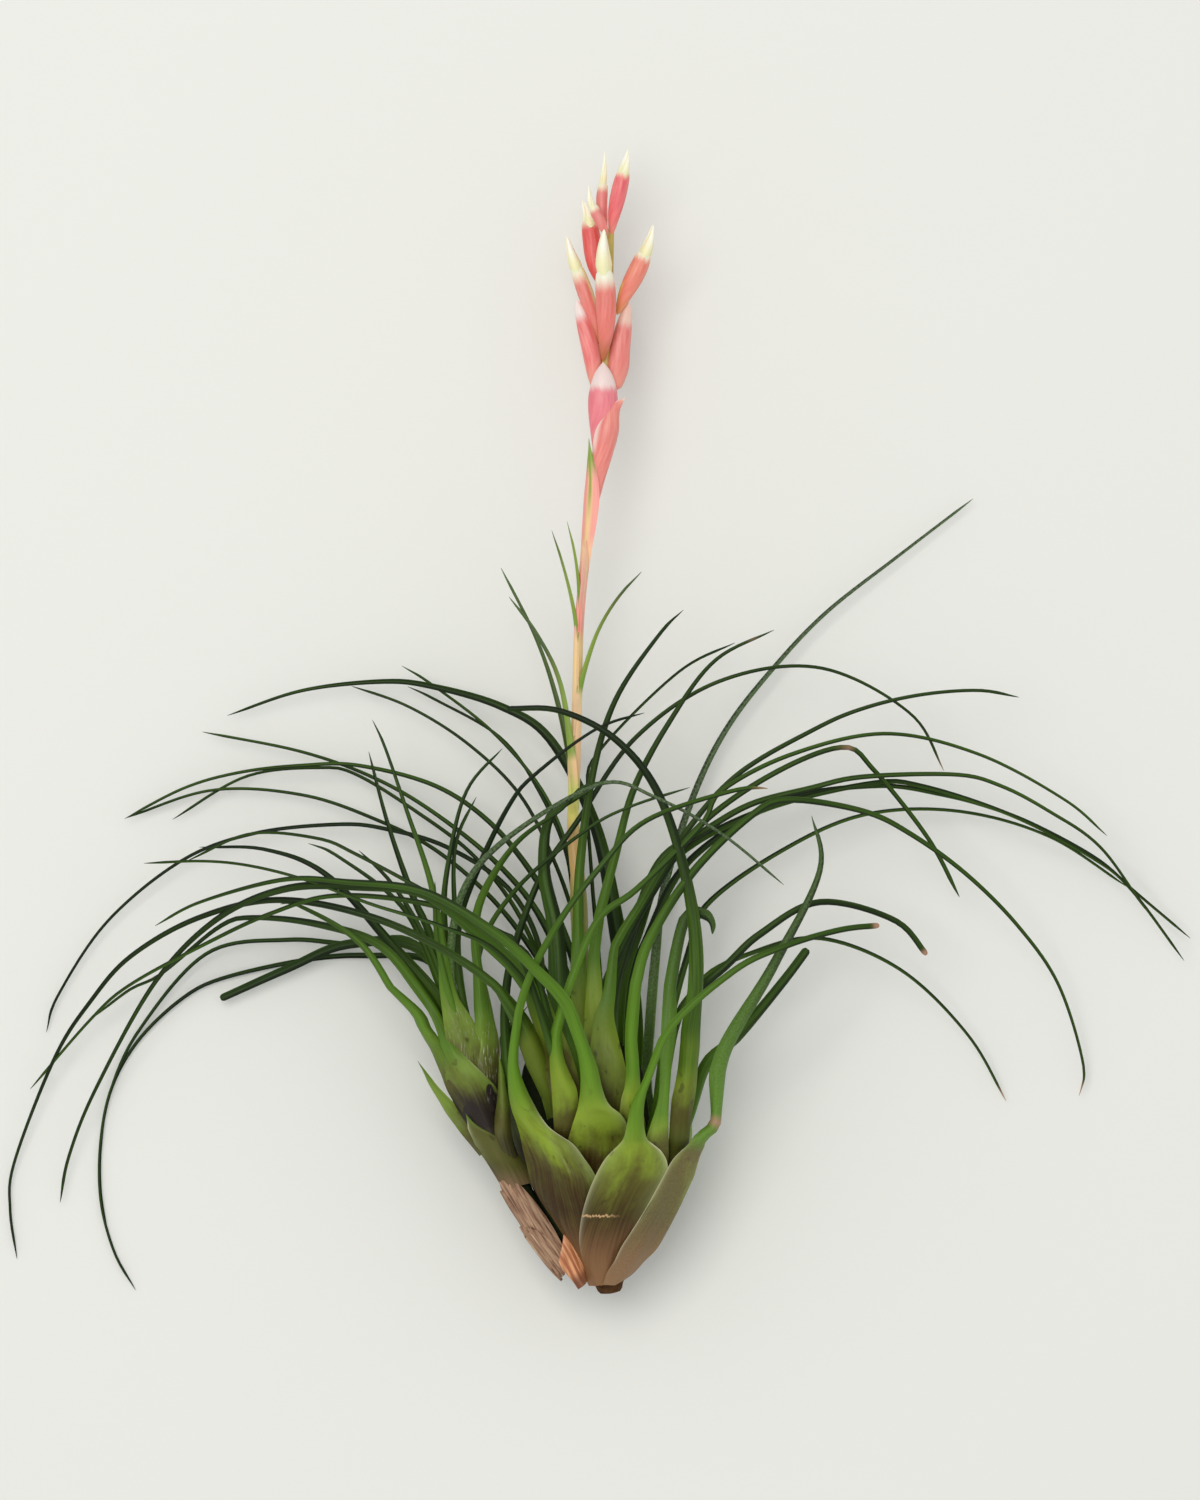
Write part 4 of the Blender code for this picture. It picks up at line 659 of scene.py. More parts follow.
MAIN_LEAVES = (
    ("front_left", 2.3, 0.8, 15, 45, [(-4.5, -28.5, 21), (-9, -17.5, 27), (-13.5, -5.5, 31), (-20, 13, 33),
     (-21.5, 21, 35.5), (-18.5, 35, 44), (-11, 49.5, 51), (-2, 61.5, 53), (8, 71.5, 52), (27, 78, 47),
     (36, 78.5, 44)]),
    ("front_centre", 4, 0.5, 11.5, 45, [(-2, -27, 22), (-2, -15.5, 33), (-2.5, -3.5, 38), (-5, 16, 41),
     (-9, 30, 45), (-16, 38.5, 48), (-26, 47.5, 50), (-41, 56, 49), (-57.5, 58, 45), (-71.5, 58.5, 40),
     (-90, 53.5, 30), (-100.5, 48, 22)]),
    ("front_right", 1.7, 1.1, 14.5, 38, [(-1.5, -27.5, 22), (0.5, -15.5, 34), (7, 7.5, 41), (12.5, 25, 46),
     (27, 38.5, 47), (38.5, 44, 45), (50.5, 47.5, 42), (59.5, 48.5, 40)]),
    ("right_kinked", 4.1, 0.35, 12, 36, [(2, -27.5, 20), (14, -10, 29), (20.5, 3.5, 31), (23, 5.5, 32),
     (25, 20.5, 36), (36, 40, 40), (46, 60.5, 39), (44, 73.5, 39)]),
    ("folded", 2.9, 1.8, 6, 25, [(6, -10, 27), (10, -1, 33), (12, 14.5, 35), (13, 32, 34), (16.5, 50, 32),
     (22, 50, 33), (22.5, 45.5, 33)]),
    ("over_stem", 4, 1, 6, 25, [(9, -10, 24), (13.5, -1, 31), (16.5, 13, 35), (19, 35, 37), (17.5, 55, 37.5),
     (11, 76.5, 37.5), (1.5, 89, 38), (-11, 95.5, 37), (-23, 96, 35.5)]),
    ("mid_broad", 5, 1.2, 0, 0, [(-4.5, -7.5, 27), (-9, 16.5, 31), (-11, 32, 31), (-12, 47.5, 29),
     (-14.5, 60.5, 27.5), (-13, 72.5, 27.5), (-4.5, 78, 28)]),
    ("low_left_1", 4.6, 0.45, 0, 0, [(-1, -10, 16), (4, 13, 14), (4.5, 32, 15), (2, 45, 16), (-3, 69.5, 15.5),
     (-13, 89, 14), (-24, 96.5, 12), (-39.5, 101, 10), (-50.5, 102, 9), (-68, 100, 7), (-84.5, 94.5, 4)]),
    ("low_left_2", 1.3, 0.4, 13, 40, [(-0.5, -25.5, 15), (0, -12, 2.6), (0, 0, 0), (-0.5, 12, 1.8),
     (-2, 27.5, 5), (-6.5, 45, 9), (-11.5, 60.5, 12), (-19.5, 76.5, 11), (-31, 88, 9), (-44.5, 96.5, 7),
     (-58.5, 101.5, 5)]),
    ("low_left_3", 1.3, 0.35, 0, 0, [(-2, -7.5, 17), (-4, 25.5, 16), (-6.5, 47.5, 16), (-9, 63.5, 15),
     (-15, 78, 13), (-26, 91, 10.5), (-39.5, 101.5, 8.5), (-46, 105.5, 8)]),
    ("low_left_4", 0.9, 0.35, 0, 0, [(-2.5, -7.5, 14), (-4.5, 25.5, 12), (-7.5, 47.5, 11), (-9.5, 63.5, 10.5),
     (-15.5, 77.5, 10), (-24, 89.5, 9), (-38.5, 98, 7), (-46, 101.5, 6)]),
    ("low_left_5", 1.6, 0.4, 0, 0, [(-3, -7.5, 15), (-7.5, 29.5, 13), (-14.5, 48.5, 12), (-24, 61, 10.5),
     (-38, 72.5, 9), (-51.5, 80.5, 7.5), (-68, 86.5, 6), (-90.5, 91, 5)]),
    ("low_left_6", 1.7, 0.5, 0, 0, [(-2.5, -7.5, 18), (-5.5, 29.5, 17), (-10.5, 47.5, 16), (-16, 58, 14.5),
     (-26, 70.5, 12.5), (-38.5, 79, 11), (-55.5, 83.5, 10), (-68, 83.5, 9), (-81.5, 82, 7), (-94, 78.5, 5.5),
     (-108.5, 71, 4)]),
    ("low_left_7", 1.2, 0.4, 13, 40, [(-2, -25.5, 16), (-9.5, -10, 7), (-11, 13, 5), (-13, 32, 7),
     (-19.5, 49.5, 8.5), (-30, 63.5, 8), (-43, 73.5, 7), (-56, 81.5, 6), (-64, 83, 6), (-80.5, 81, 5),
     (-97.5, 71, 3)]),
    ("low_left_8", 1.1, 0.4, 0, 0, [(-5, -7.5, 15), (-9, 25.5, 11), (-14.5, 38.5, 10), (-25, 53, 8.5),
     (-38, 64.5, 7), (-51.5, 71.5, 6), (-68, 77, 5), (-88, 78, 4.5), (-108, 71.5, 3)]),
    ("low_left_9", 1.3, 0.4, 13, 40, [(-4, -25.5, 18), (-9.5, -20, 16), (-15.5, -10, 14), (-18.5, 1, 13),
     (-18, 13, 12.5), (-16, 27.5, 12.5), (-15.5, 43, 12.5), (-22.5, 56.5, 11.5), (-36, 65.5, 10),
     (-49.5, 69.5, 9), (-60, 70.5, 8), (-78.5, 68.5, 7), (-94.5, 62.5, 5.5), (-111, 49, 4), (-122, 32.5, 2.5),
     (-124.5, 24.5, 1.5)]),
    ("high_left_1", 4.4, 0.6, 6, 30, [(-2, -10, 24), (-7.5, 7.5, 29), (-13.5, 23, 34), (-17.5, 35, 38),
     (-30, 47.5, 43), (-41, 55.5, 44), (-55, 57, 42), (-71, 56.5, 37), (-86, 50, 29), (-100, 36, 19),
     (-113.5, 12, 9), (-119.5, -3, 5), (-121.5, -13.5, 3)]),
    ("high_left_2", 2.4, 0.5, 13, 40, [(-4, -25.5, 20), (-9.5, -20, 21), (-15, -10, 24), (-17.5, 1, 26),
     (-15.5, 18.5, 35), (-21.5, 31, 38), (-33, 41, 39), (-51.5, 50, 38), (-72.5, 54, 34), (-90.5, 50, 27),
     (-105.5, 41.5, 19), (-114.5, 31.5, 13), (-122.5, 19, 8), (-131.5, -4, 3), (-132.5, -14.5, 2),
     (-131, -25.5, 1)]),
    ("high_left_3", 1.6, 0.4, 0, 0, [(-3, -10, 27), (-11, 18.5, 34), (-17.5, 40.5, 38), (-24, 45, 40),
     (-37.5, 52.5, 41), (-59.5, 55, 38), (-74.5, 51, 33), (-89.5, 44, 26), (-106, 35, 17), (-114.5, 27.5, 12),
     (-128, 12, 5)]),
    ("high_left_4", 1.3, 0.4, 0, 0, [(-3.5, -10, 28), (-12, 18.5, 37), (-20, 43, 44), (-25, 47.5, 46),
     (-39.5, 55.5, 47), (-55.5, 64, 44), (-64, 67.5, 41), (-79, 68.5, 34), (-93, 62.5, 27)]),
    ("high_left_5", 0.9, 0.35, 0, 0, [(-3, -10, 27), (-13, 25.5, 36), (-24, 42, 42), (-37.5, 48.5, 43.5),
     (-52, 53, 42), (-67, 58.5, 39), (-79, 61.5, 36), (-89.5, 62.5, 32), (-102.5, 62, 27)]),
    ("centre_1", 2.7, 0.4, 0, 0, [(-2, -7.5, 24), (-5, 18.5, 27), (-7, 31, 28), (-7, 46, 27.5),
     (-6.5, 62.5, 27), (-3.5, 83, 27.5), (1.5, 98.5, 29), (11, 112.5, 31), (16.5, 118, 32)]),
    ("centre_2", 0.7, 0.35, 0, 0, [(-2, -7.5, 17), (-2, 32, 13), (-4, 58.5, 12), (-5, 78, 12), (-2.5, 86.5, 12),
     (15, 104, 11), (28.5, 111, 10)]),
    ("centre_3", 2.8, 0.4, 0, 0, [(-2, -7.5, 25), (-4.5, 21, 30), (-3.5, 44, 31), (1.5, 65, 30), (5.5, 79, 30),
     (13, 93, 31), (23, 106.5, 33), (36.5, 113.5, 34)]),
    ("long_arch", 1.7, 0.5, 0, 0, [(-4.5, -7.5, 22), (-20, 10, 22), (-23, 23, 23), (-22, 39.5, 24),
     (-15.5, 58.5, 25), (-7, 71.5, 26), (5.5, 89.5, 27), (24, 102, 28), (46, 105, 26), (66, 95, 21),
     (74, 81.5, 16)]),
    ("back_right", 2.6, 0.4, 13, 40, [(0.5, -25.5, 15), (5.5, -20, 11.5), (9, -10, 7), (10, 1, 5),
     (8.5, 13, 5.5), (9, 25, 7), (10, 40.5, 7.5), (12, 56.5, 6.5), (18.5, 77, 6), (26, 92, 5.5),
     (36.5, 105.5, 5), (48, 117.5, 5), (64, 130, 4), (81, 143, 3)]),
    ("right_1", 2, 0.6, 0, 0, [(0, -7.5, 24), (-3.5, 23, 30), (0.5, 42, 31), (6.5, 53, 31), (16, 68, 31),
     (28, 81.5, 31), (45, 91.5, 30), (55.5, 96, 29), (68, 99, 28), (81, 100, 26), (90, 98.5, 24)]),
    ("right_2", 1.6, 0.4, 7, 32, [(-6, -10, 29), (-9, 3.5, 36), (-10.5, 14.5, 38), (-11, 27.5, 39),
     (-7.5, 39.5, 39), (-2, 50.5, 38.5), (6, 56.5, 38), (20, 70.5, 37), (24.5, 78, 36), (40, 86, 34),
     (60.5, 90.5, 32), (81, 86, 27), (100, 76, 20), (109.5, 68, 16)]),
    ("right_3", 1.8, 0.8, 0, 0, [(0.5, -7.5, 23), (-1.5, 29, 27), (1.5, 41, 27), (9, 55, 27), (19.5, 70, 28),
     (35.5, 81.5, 30), (51, 87.5, 31), (58, 82.5, 27), (70, 67.5, 19), (77, 54.5, 14)]),
    ("right_4", 2.2, 0.5, 0, 0, [(2, -7.5, 20), (0.5, 29.5, 23), (5, 47.5, 24), (11, 62.5, 25), (20.5, 69, 26),
     (31, 75, 27), (44, 78.5, 28), (55.5, 81, 28), (76, 81.5, 26), (86, 79, 24), (96.5, 73.5, 21),
     (108, 65.5, 17), (118.5, 51, 12)]),
    ("right_5", 2, 0.4, 0, 0, [(2, -7.5, 19), (2, 29.5, 20), (6.5, 47.5, 20.5), (13.5, 62.5, 21),
     (33, 73.5, 22), (57, 79.5, 22.5), (68.5, 79, 22), (88.5, 72.5, 18.5), (106.5, 63, 14), (115, 56, 11),
     (127, 40, 7)]),
    ("right_6", 1.8, 0.4, 0, 0, [(2.5, -7.5, 16), (3.5, 29.5, 16), (8.5, 46, 16), (17.5, 62.5, 16),
     (37.5, 75.5, 17), (58.5, 79, 17), (73.5, 77, 16), (86, 73.5, 15), (96.5, 69, 13), (108, 62.5, 10.5),
     (116, 55.5, 8), (128.5, 45, 5)]),
    ("right_7", 1.3, 0.5, 0, 0, [(9, -7.5, 18), (12, 21, 15), (17.5, 43, 13), (21.5, 53, 12), (37.5, 64.5, 12),
     (55.5, 72.5, 11), (76, 73.5, 10), (96.5, 68, 8), (114.5, 56.5, 5.5)]),
    ("hooked", 2.4, 0.5, 5, 30, [(0.5, -10, 28), (4.5, 12, 38), (4.5, 25, 40), (6, 36.5, 41), (9, 46, 39.5),
     (18.5, 60.5, 37), (31, 72.5, 35), (39, 76, 34), (55.5, 73.5, 31), (66, 68.5, 27), (78.5, 59.5, 21),
     (90, 48, 15), (99, 35, 9), (104.5, 17.5, 4), (103.5, 10, 2.5)]),
    ("right_low", 1.4, 0.4, 13, 40, [(2, -25.5, 18), (9.5, -20, 16), (15, -10, 14), (17.5, 1, 13),
     (17.5, 13, 14), (17.5, 27.5, 18), (20.5, 36.5, 21), (30.5, 42, 22), (46, 45.5, 20), (64, 38.5, 13),
     (79, 24, 6), (88, 8.5, 1.5)]),
    ("right_cut", 1.6, 1.1, 0, 0, [(6.5, -7.5, 24), (11.5, 12, 28), (15.5, 29.5, 30), (26, 40, 31),
     (33, 46.5, 31), (46, 53.5, 30), (62.5, 49.5, 25), (70, 41.5, 21)]),
    ("right_stub", 1.9, 1.5, 0, 0, [(11, -7.5, 20), (17, 3.5, 24), (21, 17.5, 27), (28, 24, 28), (38, 36, 29),
     (44, 44, 29)]),
)
print("main leaves:", len(MAIN_LEAVES))

# %% Outlines of the front sheaths, from foot to blade
# name: (how far off the bulb, rows of left x, y, right x, y and a height where it has left the bulb, and for
# one leaf how far its left edge may rise)
MAIN_SPOONS = {
    "front_left": (0, [(-4.6, -31, -1.8, -30.8), (-6.2, -27.5, -1.5, -27.9), (-8.4, -23.1, -2.2, -24.9),
        (-12.5, -16.5, -2.6, -19.1), (-15.2, -12.1, -2.2, -14.7), (-17.2, -7.7, -2.2, -11.7),
        (-18.1, -4, -2.5, -8.4), (-19, -1, -4, -5.6), (-19.6, 1.3, -5.7, -3.3), (-20.2, 3.3, -8.1, -0.2, 31.9),
        (-20.8, 5.1, -11, 1.8, 31.7), (-21.2, 6.4, -13.4, 3.7, 31.9), (-21.6, 7.9, -15.4, 6.4, 32.4),
        (-22, 9.9, -16.9, 9.2, 32.8), (-22.3, 12.5, -18.6, 12.8, 33.8), (-22.4, 17.4, -20.1, 17.4, 35.2),
        (-22, 22, -20.1, 22, 36.5)]),
    "front_centre": (-0.8, [(-4, -7.7, -0.9, -7.7, 28), (-7.7, -4.4, 3.3, -4.4, 28.8),
        (-9.2, -1.1, 5.3, -1.1, 30), (-9.2, 1.1, 4.8, 1.5, 31.4), (-8.6, 3.3, 4, 3.7, 33.4),
        (-8.1, 5.1, 3.5, 5.5, 35.2), (-7.5, 7, 2.2, 7.3, 37), (-7, 8.6, 0.3, 8.4, 38.6),
        (-6.7, 10.3, -1, 10.3, 39.3), (-6.4, 13.2, -1.9, 13.2, 40.3), (-6.6, 17.6, -2.9, 17.6, 41.3),
        (-7.5, 22, -4.6, 22, 42.8)]),
    "front_right": (0.7, [(-2.9, -30.8, 0.2, -30.6), (-4.4, -28.6, 0.9, -27.9), (-5.9, -24.9, 1.5, -24.2),
        (-6.6, -20.9, 3.7, -20.9), (-6.4, -16.9, 6.2, -16.5), (-5.7, -13.2, 8.6, -12.8), (-4.4, -9.2, 11, -9),
        (-2.6, -5.3, 12.4, -5.9), (-0.9, -2.6, 12.4, -3.3), (0.7, -0.9, 11.2, -1.1), (2.2, 0.6, 9.5, 0.3, 37.5),
        (3, 1.8, 8.1, 1.5, 38), (3.5, 3.5, 7.6, 3.1, 38.6), (4, 5.9, 7.3, 5.7, 39.4), (4.6, 9, 7.4, 9, 40.6),
        (6, 12.1, 8, 12.1, 41.6), (7.3, 14.7, 9, 14.7, 42.4)]),
    "right_kinked": (1.3, [(-1.5, -30.6, 1.1, -30.8), (-0.7, -27.9, 4.8, -28.6), (0.9, -25.3, 7.5, -25.7),
        (2.4, -22.2, 10.3, -22.7), (4.6, -18.9, 12.5, -18.7), (7.3, -14.7, 14.7, -14.5),
        (9.7, -10.3, 16.9, -10.1), (11.7, -6.4, 18.5, -6.8), (13.4, -3.3, 19.4, -3.7), (15.2, -1.3, 20, -1.8),
        (16.9, 0.1, 20.6, -0.4, 30), (18.6, 2.2, 21, 0.9, 30.5), (20.2, 3.6, 22.2, 2.2, 31),
        (21.6, 4.7, 23.6, 3.3, 31.5), (22.1, 5.8, 24.3, 4.9, 31.9), (22.2, 7.8, 24.5, 7.6, 32.3)], 0.42),
    "folded": (-1.6, [(7.3, -4.4, 12.8, -4.4), (7.7, -1.1, 12.8, -1.1), (7.9, 1.5, 12.8, 1.5),
        (8.8, 4.4, 12.8, 4.4, 34), (9.9, 7.7, 12.8, 7.7, 34.6), (10.6, 10.3, 12.9, 10.3, 35),
        (10.9, 14.3, 13.2, 14.3, 35.4), (11, 18.7, 13.6, 18.7, 35.3), (11.1, 23.1, 14.3, 23.1, 35),
        (11.3, 27.5, 14.7, 27.5, 34.6)]),
    "over_stem": (-1.9, [(12.5, -5.1, 17.6, -4.4), (12.8, -1.1, 17.2, -1.1), (13, 2.2, 17.4, 2.2, 32.5),
        (13.2, 5.5, 17.7, 5.5, 33.3), (13.6, 9.9, 18.5, 9.9, 34.4), (14.3, 13.2, 18.9, 13.2, 35),
        (15, 17.6, 19.2, 17.6, 35.6), (15.4, 22, 19.6, 22, 36.2), (15.8, 26.4, 19.8, 26.4, 36.6)]),
    "hooked": (-1.4, [(4.2, -0.2, 7.9, -0.2, 28), (3.5, 2.4, 7.9, 2.4, 31), (2.6, 5.1, 7.7, 5.1, 33.8),
        (2.1, 7.3, 7.3, 7.3, 36), (2.3, 9.2, 7, 9.2, 37.2), (2.6, 10.8, 6.8, 10.8, 37.7),
        (3.3, 13.2, 6.6, 13.2, 38.2), (3.6, 16.5, 6.4, 16.5, 38.6), (3.4, 19.8, 6.2, 19.8, 39),
        (3.3, 23.1, 5.9, 23.1, 39.6), (3.5, 27.5, 6.2, 27.5, 40)]),
    "right_2": (-1.6, [(-10.6, -2.4, -7.5, -2, 24.5), (-11.7, -0.2, -7, 0.2, 27), (-12.2, 2.2, -7, 2.2, 29.8),
        (-12.4, 5.5, -7, 5.5, 32.6), (-12.5, 8.8, -6.9, 9.2, 35), (-12.7, 12.1, -7.3, 12.5, 36.6),
        (-13, 15.4, -8.6, 15.4, 37.7), (-13.2, 18.7, -10, 18.7, 38.4), (-13.1, 22, -10.6, 22, 38.7),
        (-12.9, 25.3, -10.6, 25.3, 39)]),
    "high_left_1": (-3, [(-11.9, 3.3, -4.4, 3.3, 31), (-12.5, 7.7, -4.8, 7.7, 31.6),
        (-13.2, 12.1, -6.2, 12.1, 32.2), (-14.3, 16.5, -7.3, 16.5, 33), (-15.2, 20.9, -8.8, 20.9, 33.8),
        (-16.5, 25.3, -10.6, 25.3, 34.8), (-17.8, 29.7, -12.5, 29.7, 36), (-19.1, 33.7, -14.5, 34.1, 37.5)]),
    "right_1": (-3, [(-3.5, 4.4, 3.1, 4.4, 31), (-4, 9.9, 3.7, 9.9, 33), (-4.4, 14.3, 4, 14.3, 34.2),
        (-4.4, 18.7, 3.1, 18.7, 34.6), (-4.2, 23.1, 2, 23.1, 34), (-3.3, 28.6, 0.9, 28.6, 32.6),
        (-1.5, 34.1, 1.3, 34.1, 31.8)]),
    "centre_1": (-5, [(-10.6, 7.7, -4.4, 7.7, 28), (-11, 12.1, -4.8, 12.1, 29), (-11.2, 18.7, -4.4, 18.7, 29.5),
        (-10.6, 24.2, -4.4, 24.2, 29.5), (-9.7, 29.7, -4.6, 29.7, 29.3), (-9, 35.2, -4.8, 35.2, 29),
        (-8.6, 40.7, -5.3, 40.7, 28.5)]),
    "centre_3": (-4, [(-5.7, 8.8, -0.9, 8.8, 29), (-5.9, 14.3, -0.9, 14.3, 31), (-5.9, 19.8, -0.9, 19.8, 32),
        (-5.7, 25.3, -1.1, 25.3, 32), (-5.5, 30.8, -1.5, 30.8, 32), (-5.1, 36.3, -1.8, 36.3, 31.6),
        (-4.8, 41.8, -2.2, 41.8, 31.3)]),
    "high_left_2": (-8, [(-11.9, -1.5, -9.7, -0.7, 15), (-13, 1.5, -10.1, 2.4, 19),
        (-13.6, 4.6, -10.6, 5.3, 22.5), (-14.3, 7.7, -11, 8.1, 25.5), (-15.2, 10.6, -11.7, 11.7, 28.5),
        (-16.7, 13.9, -12.5, 16.1, 31), (-18.3, 17.4, -13.9, 20.5, 33), (-19.6, 21.3, -15.8, 24.4, 35),
        (-21.1, 25.7, -18.3, 28.8, 37)]),
    # low_left_9's sheath is drawn into the dark gap left of the bulb, under front_left: a dark sheet that
    # stands for the shade there
    "low_left_9": (-14, [(-11, -19.1, -5.5, -20, 12), (-14.3, -14.3, -8.4, -15.2, 13),
        (-17.6, -8.8, -10.6, -9, 14), (-20, -3.3, -13.6, -2.9, 14.5), (-22.2, 3.3, -16.5, 3.7, 14.5),
        (-23.5, 8.8, -18.9, 9, 14), (-24.2, 14.3, -20.7, 14.3, 13.6), (-24, 19.8, -21.3, 19.8, 13.2),
        (-23.5, 25.3, -21.6, 25.3, 12.8)]),
}
print("drawn sheaths:", len(MAIN_SPOONS))

# %% Looks of single leaves
LEAF_LOOKS = {
    "front_left": dict(stain=(0.78, 0.95), tip_dry=0.7, tone=0.05, lips=(0, 1), age=0.12),
    "front_centre": dict(stain=(0.33, 0.8), age=-0.4, tone=0.1, lips=(0, 1)),
    "front_right": dict(stain=(0.72, 0.95), tip_dry=0.9, blunt=True, tone=0.1, lips=(0.42, 1),
        lip_from=(0.12, 0.6), crack=1, age=0.2),
    "right_kinked": dict(taper=0.85, stain=(0.8, 0.45), dried=0.13, lip_from=(0.05, 0.05), tone=0.1,
        lips=(0.6, 0.15), scar=(23, 5.3), age=0.4, grey=0.2),
    "folded": dict(stain=(0.3, 0.3), tone=0.15, grey=0.1, lips=(0, 0)),
    "over_stem": dict(stain=(0.4, 0.4), blunt=True, tone=-0.2, shade=0.22, lips=(0, 0.3)),
    "hooked": dict(tip_dry=1, tone=0.1, stain=(0.3, 0.3), lips=(0.2, 0.2)),
    "mid_broad": dict(taper=0.9, tone=0.2),
    "right_2": dict(stain=(0.5, 0.8), tone=0.1, lips=(0, 0), shade=0.1),
    "right_low": dict(tip_dry=1),
    "right_cut": dict(tip_dry=0.9, blunt=True),
    "long_arch": dict(tip_dry=0.6, tone=-0.1),
    "right_stub": dict(blunt=True, tone=0.1),
    "back_right": dict(grey=0.5),
    "low_left_3": dict(tone=0.3),
    "low_left_5": dict(tone=0.25),
    # its heavy stain and its shade paint it nearly black: the purple-brown of a real sheath, darkened further
    # as painted shade
    "low_left_9": dict(stain=(0.8, 1.2), tone=-0.3, lips=(0, 0), shade=0.6),
    "high_left_2": dict(stain=(0.3, 0.5), tone=-0.1, lips=(0, 0), shade=0.5, age=-0.8),
    "high_left_1": dict(tone=-0.1, taper=2, lips=(0, 0), shade=0.3),
    "centre_1": dict(stain=(0.5, 0.5), lips=(0, 0), taper=0.9, age=-0.1, shade=0.25),
    "centre_3": dict(stain=(0.5, 0.4), lips=(0, 0), tone=-0.1, scar=(31.2, 112), taper=1.1, age=-0.1,
        shade=0.3),
    "right_1": dict(stain=(0.35, 0.6), lips=(0, 0), shade=0.4, age=-0.3),
    "right_3": dict(scar=(51.9, 87.8)),
    "across_2": dict(grey=0.45),
    "across_1": dict(tone=-0.3),
    "outer_left_2": dict(tone=-0.35),
    "across_3": dict(stain=(0.45, 1), scurf=0.8, lips=(0, 0)),
    "upright_1": dict(scurf=0.3, lips=(0, 0)),
    "outer_left_3": dict(stain=(0.66, 1.2), lips=(0, 0.3)),
    "outer_left_1": dict(stain=(0.5, 0.8), lips=(0, 0)),
    "foot_scale_1": dict(stain=(0.4, 0.4), age=-0.3),
    "foot_scale_2": dict(stain=(0.5, 0.4), tone=0.2, lips=(0.8, 0.2), age=0.5),
    "foot_scale_3": dict(stain=(0.5, 0.7), lips=(0, 0), age=0.2),
    "floor_left_3": dict(blunt=True),
}
print("leaves with a look of their own:", len(LEAF_LOOKS))

# %% [markdown]
# ## Old sheaths
# A real bulb is closed all round by the sheaths of old leaves whose blades have gone. They hardly show from
# the camera, but without them the bulb would be open at its sides and back. They could be patches on the
# core. They are the same surface as the other leaves, cut blunt, so they overlap as real ones do.

# %% Old sheaths and the whole main rosette
OLD_SHEATHS = (
    ("old_sheath_1", 2, 1, 17, 44, [(1.5, -30.6, 18.8), (5.6, -25, 18.6), (10.6, -18.5, 18.6), (14.6, -10, 19),
     (16.3, -2, 19.6), (16.3, 6, 20.2), (15, 12, 20.8)]),
    ("old_sheath_2", 2, 1, 16, 44, [(-2.6, -30.4, 18.8), (-6, -25, 18.4), (-9.5, -18.5, 18.2),
     (-13.2, -10, 18.4), (-15, -2, 19), (-15, 6, 20), (-14.4, 12, 21)]),
    ("old_sheath_3", 2, 1, 15, 38, [(1.2, -30.4, 17.6), (4.4, -25, 14), (8, -18.5, 10.5), (10.8, -10, 7.6),
     (12, -2, 6.2), (11.8, 5, 6.6)]),
    ("old_sheath_4", 2, 1, 15, 38, [(-1.6, -30.4, 17.6), (-4.6, -25, 14), (-8, -18.5, 10.5), (-10.6, -10, 7.4),
     (-11.8, -2, 6), (-12, 5, 6)]),
    ("old_sheath_5", 2, 1, 13, 27, [(-0.2, -30.4, 17.2), (0, -25, 12.2), (0, -19, 7.2), (0, -13, 3.2),
     (0, -8, 1.6)]),
)
OLD_LOOK = dict(stain=(0.7, 0.7), age=0.3, lips=(0.2, 0.2), blunt=True)
FRONT = ("front_left", "front_centre", "front_right", "right_kinked", "right_low", "back_right", "folded",
         "over_stem", "mid_broad", "hooked")


def piece_of(name):
    """The piece that a leaf belongs to: front ones are named, the others go by how their name starts."""
    if name in FRONT:
        return "bulb_leaves"
    return "left_leaves" if name.startswith(("low_left", "high_left")) else "right_leaves"


rng = np.random.default_rng(11)
old_rng = np.random.default_rng(5)
skins = {name: Skin() for name in ("bulb_leaves", "left_leaves", "right_leaves")}
for spec in MAIN_LEAVES:
    add_leaf(skins[piece_of(spec[0])], spec, MAIN_AXIS, rng, MAIN_SPOONS.get(spec[0]), MAIN_BULB,
             **LEAF_LOOKS.get(spec[0], {}))
for spec in OLD_SHEATHS:
    add_leaf(skins["bulb_leaves"], spec, MAIN_AXIS, old_rng, **OLD_LOOK)
for name, skin in skins.items():
    skin.finish(name, main_leaf, "leaf", "main_rosette")

# %% [markdown]
# ## The core of the bulb
# Inside the sheaths is a short stem, hard as wood. Only its cut foot shows, brown and corky, so it is matt and
# its grain is a millimetre wide. Higher up the same finish goes nearly black: painted shade, which keeps the
# middle of the rosette and the gaps between its sheaths dark. A Spin of a drawn profile would do. Here the
# profile is turned round the rosette's axis in one step.

# %% Turned core
CORE_AXIS = ((0.0, -32.0, 18.0), (-8.0, 28.0, 15.0))
MAIN_CORE = ((0, 60), (9, 58), (14, 52), (15.5, 46), (15.5, 38), (16, 28), (15, 20), (11, 12), (5.5, 5),
    (3.2, 1.5), (2.4, -0.4), (0, -0.8))
CORE_FLAT = 0.72       # the core is flatter than it is wide
CORE_SLACK = 2.0       # and keeps clear of the sheaths
GRAIN_SIZE = 1.2


def full_turn(columns):
    """Evenly spaced angles round the circle, as one row."""
    return np.linspace(0, 2 * math.pi, columns, endpoint=False)[None, :]


def turned(profile, axis, flat, columns=40):
    """Point (t, a) = the axis at the profile's height + radius * (side cos a + flat * other sin a)."""
    start, end = np.array(axis, dtype=float)
    along = unit(end - start)
    side = unit(np.cross(along, UP))
    angle = full_turn(columns)[..., None]
    radius, height = profile.T[:, :, None, None]
    circle = side * np.cos(angle) + flat * np.cross(side, along) * np.sin(angle)
    uv = np.stack(np.broadcast_arrays(angle[..., 0] * 12.0, height[..., 0]), axis=-1)
    return start + along * height + radius * circle, uv


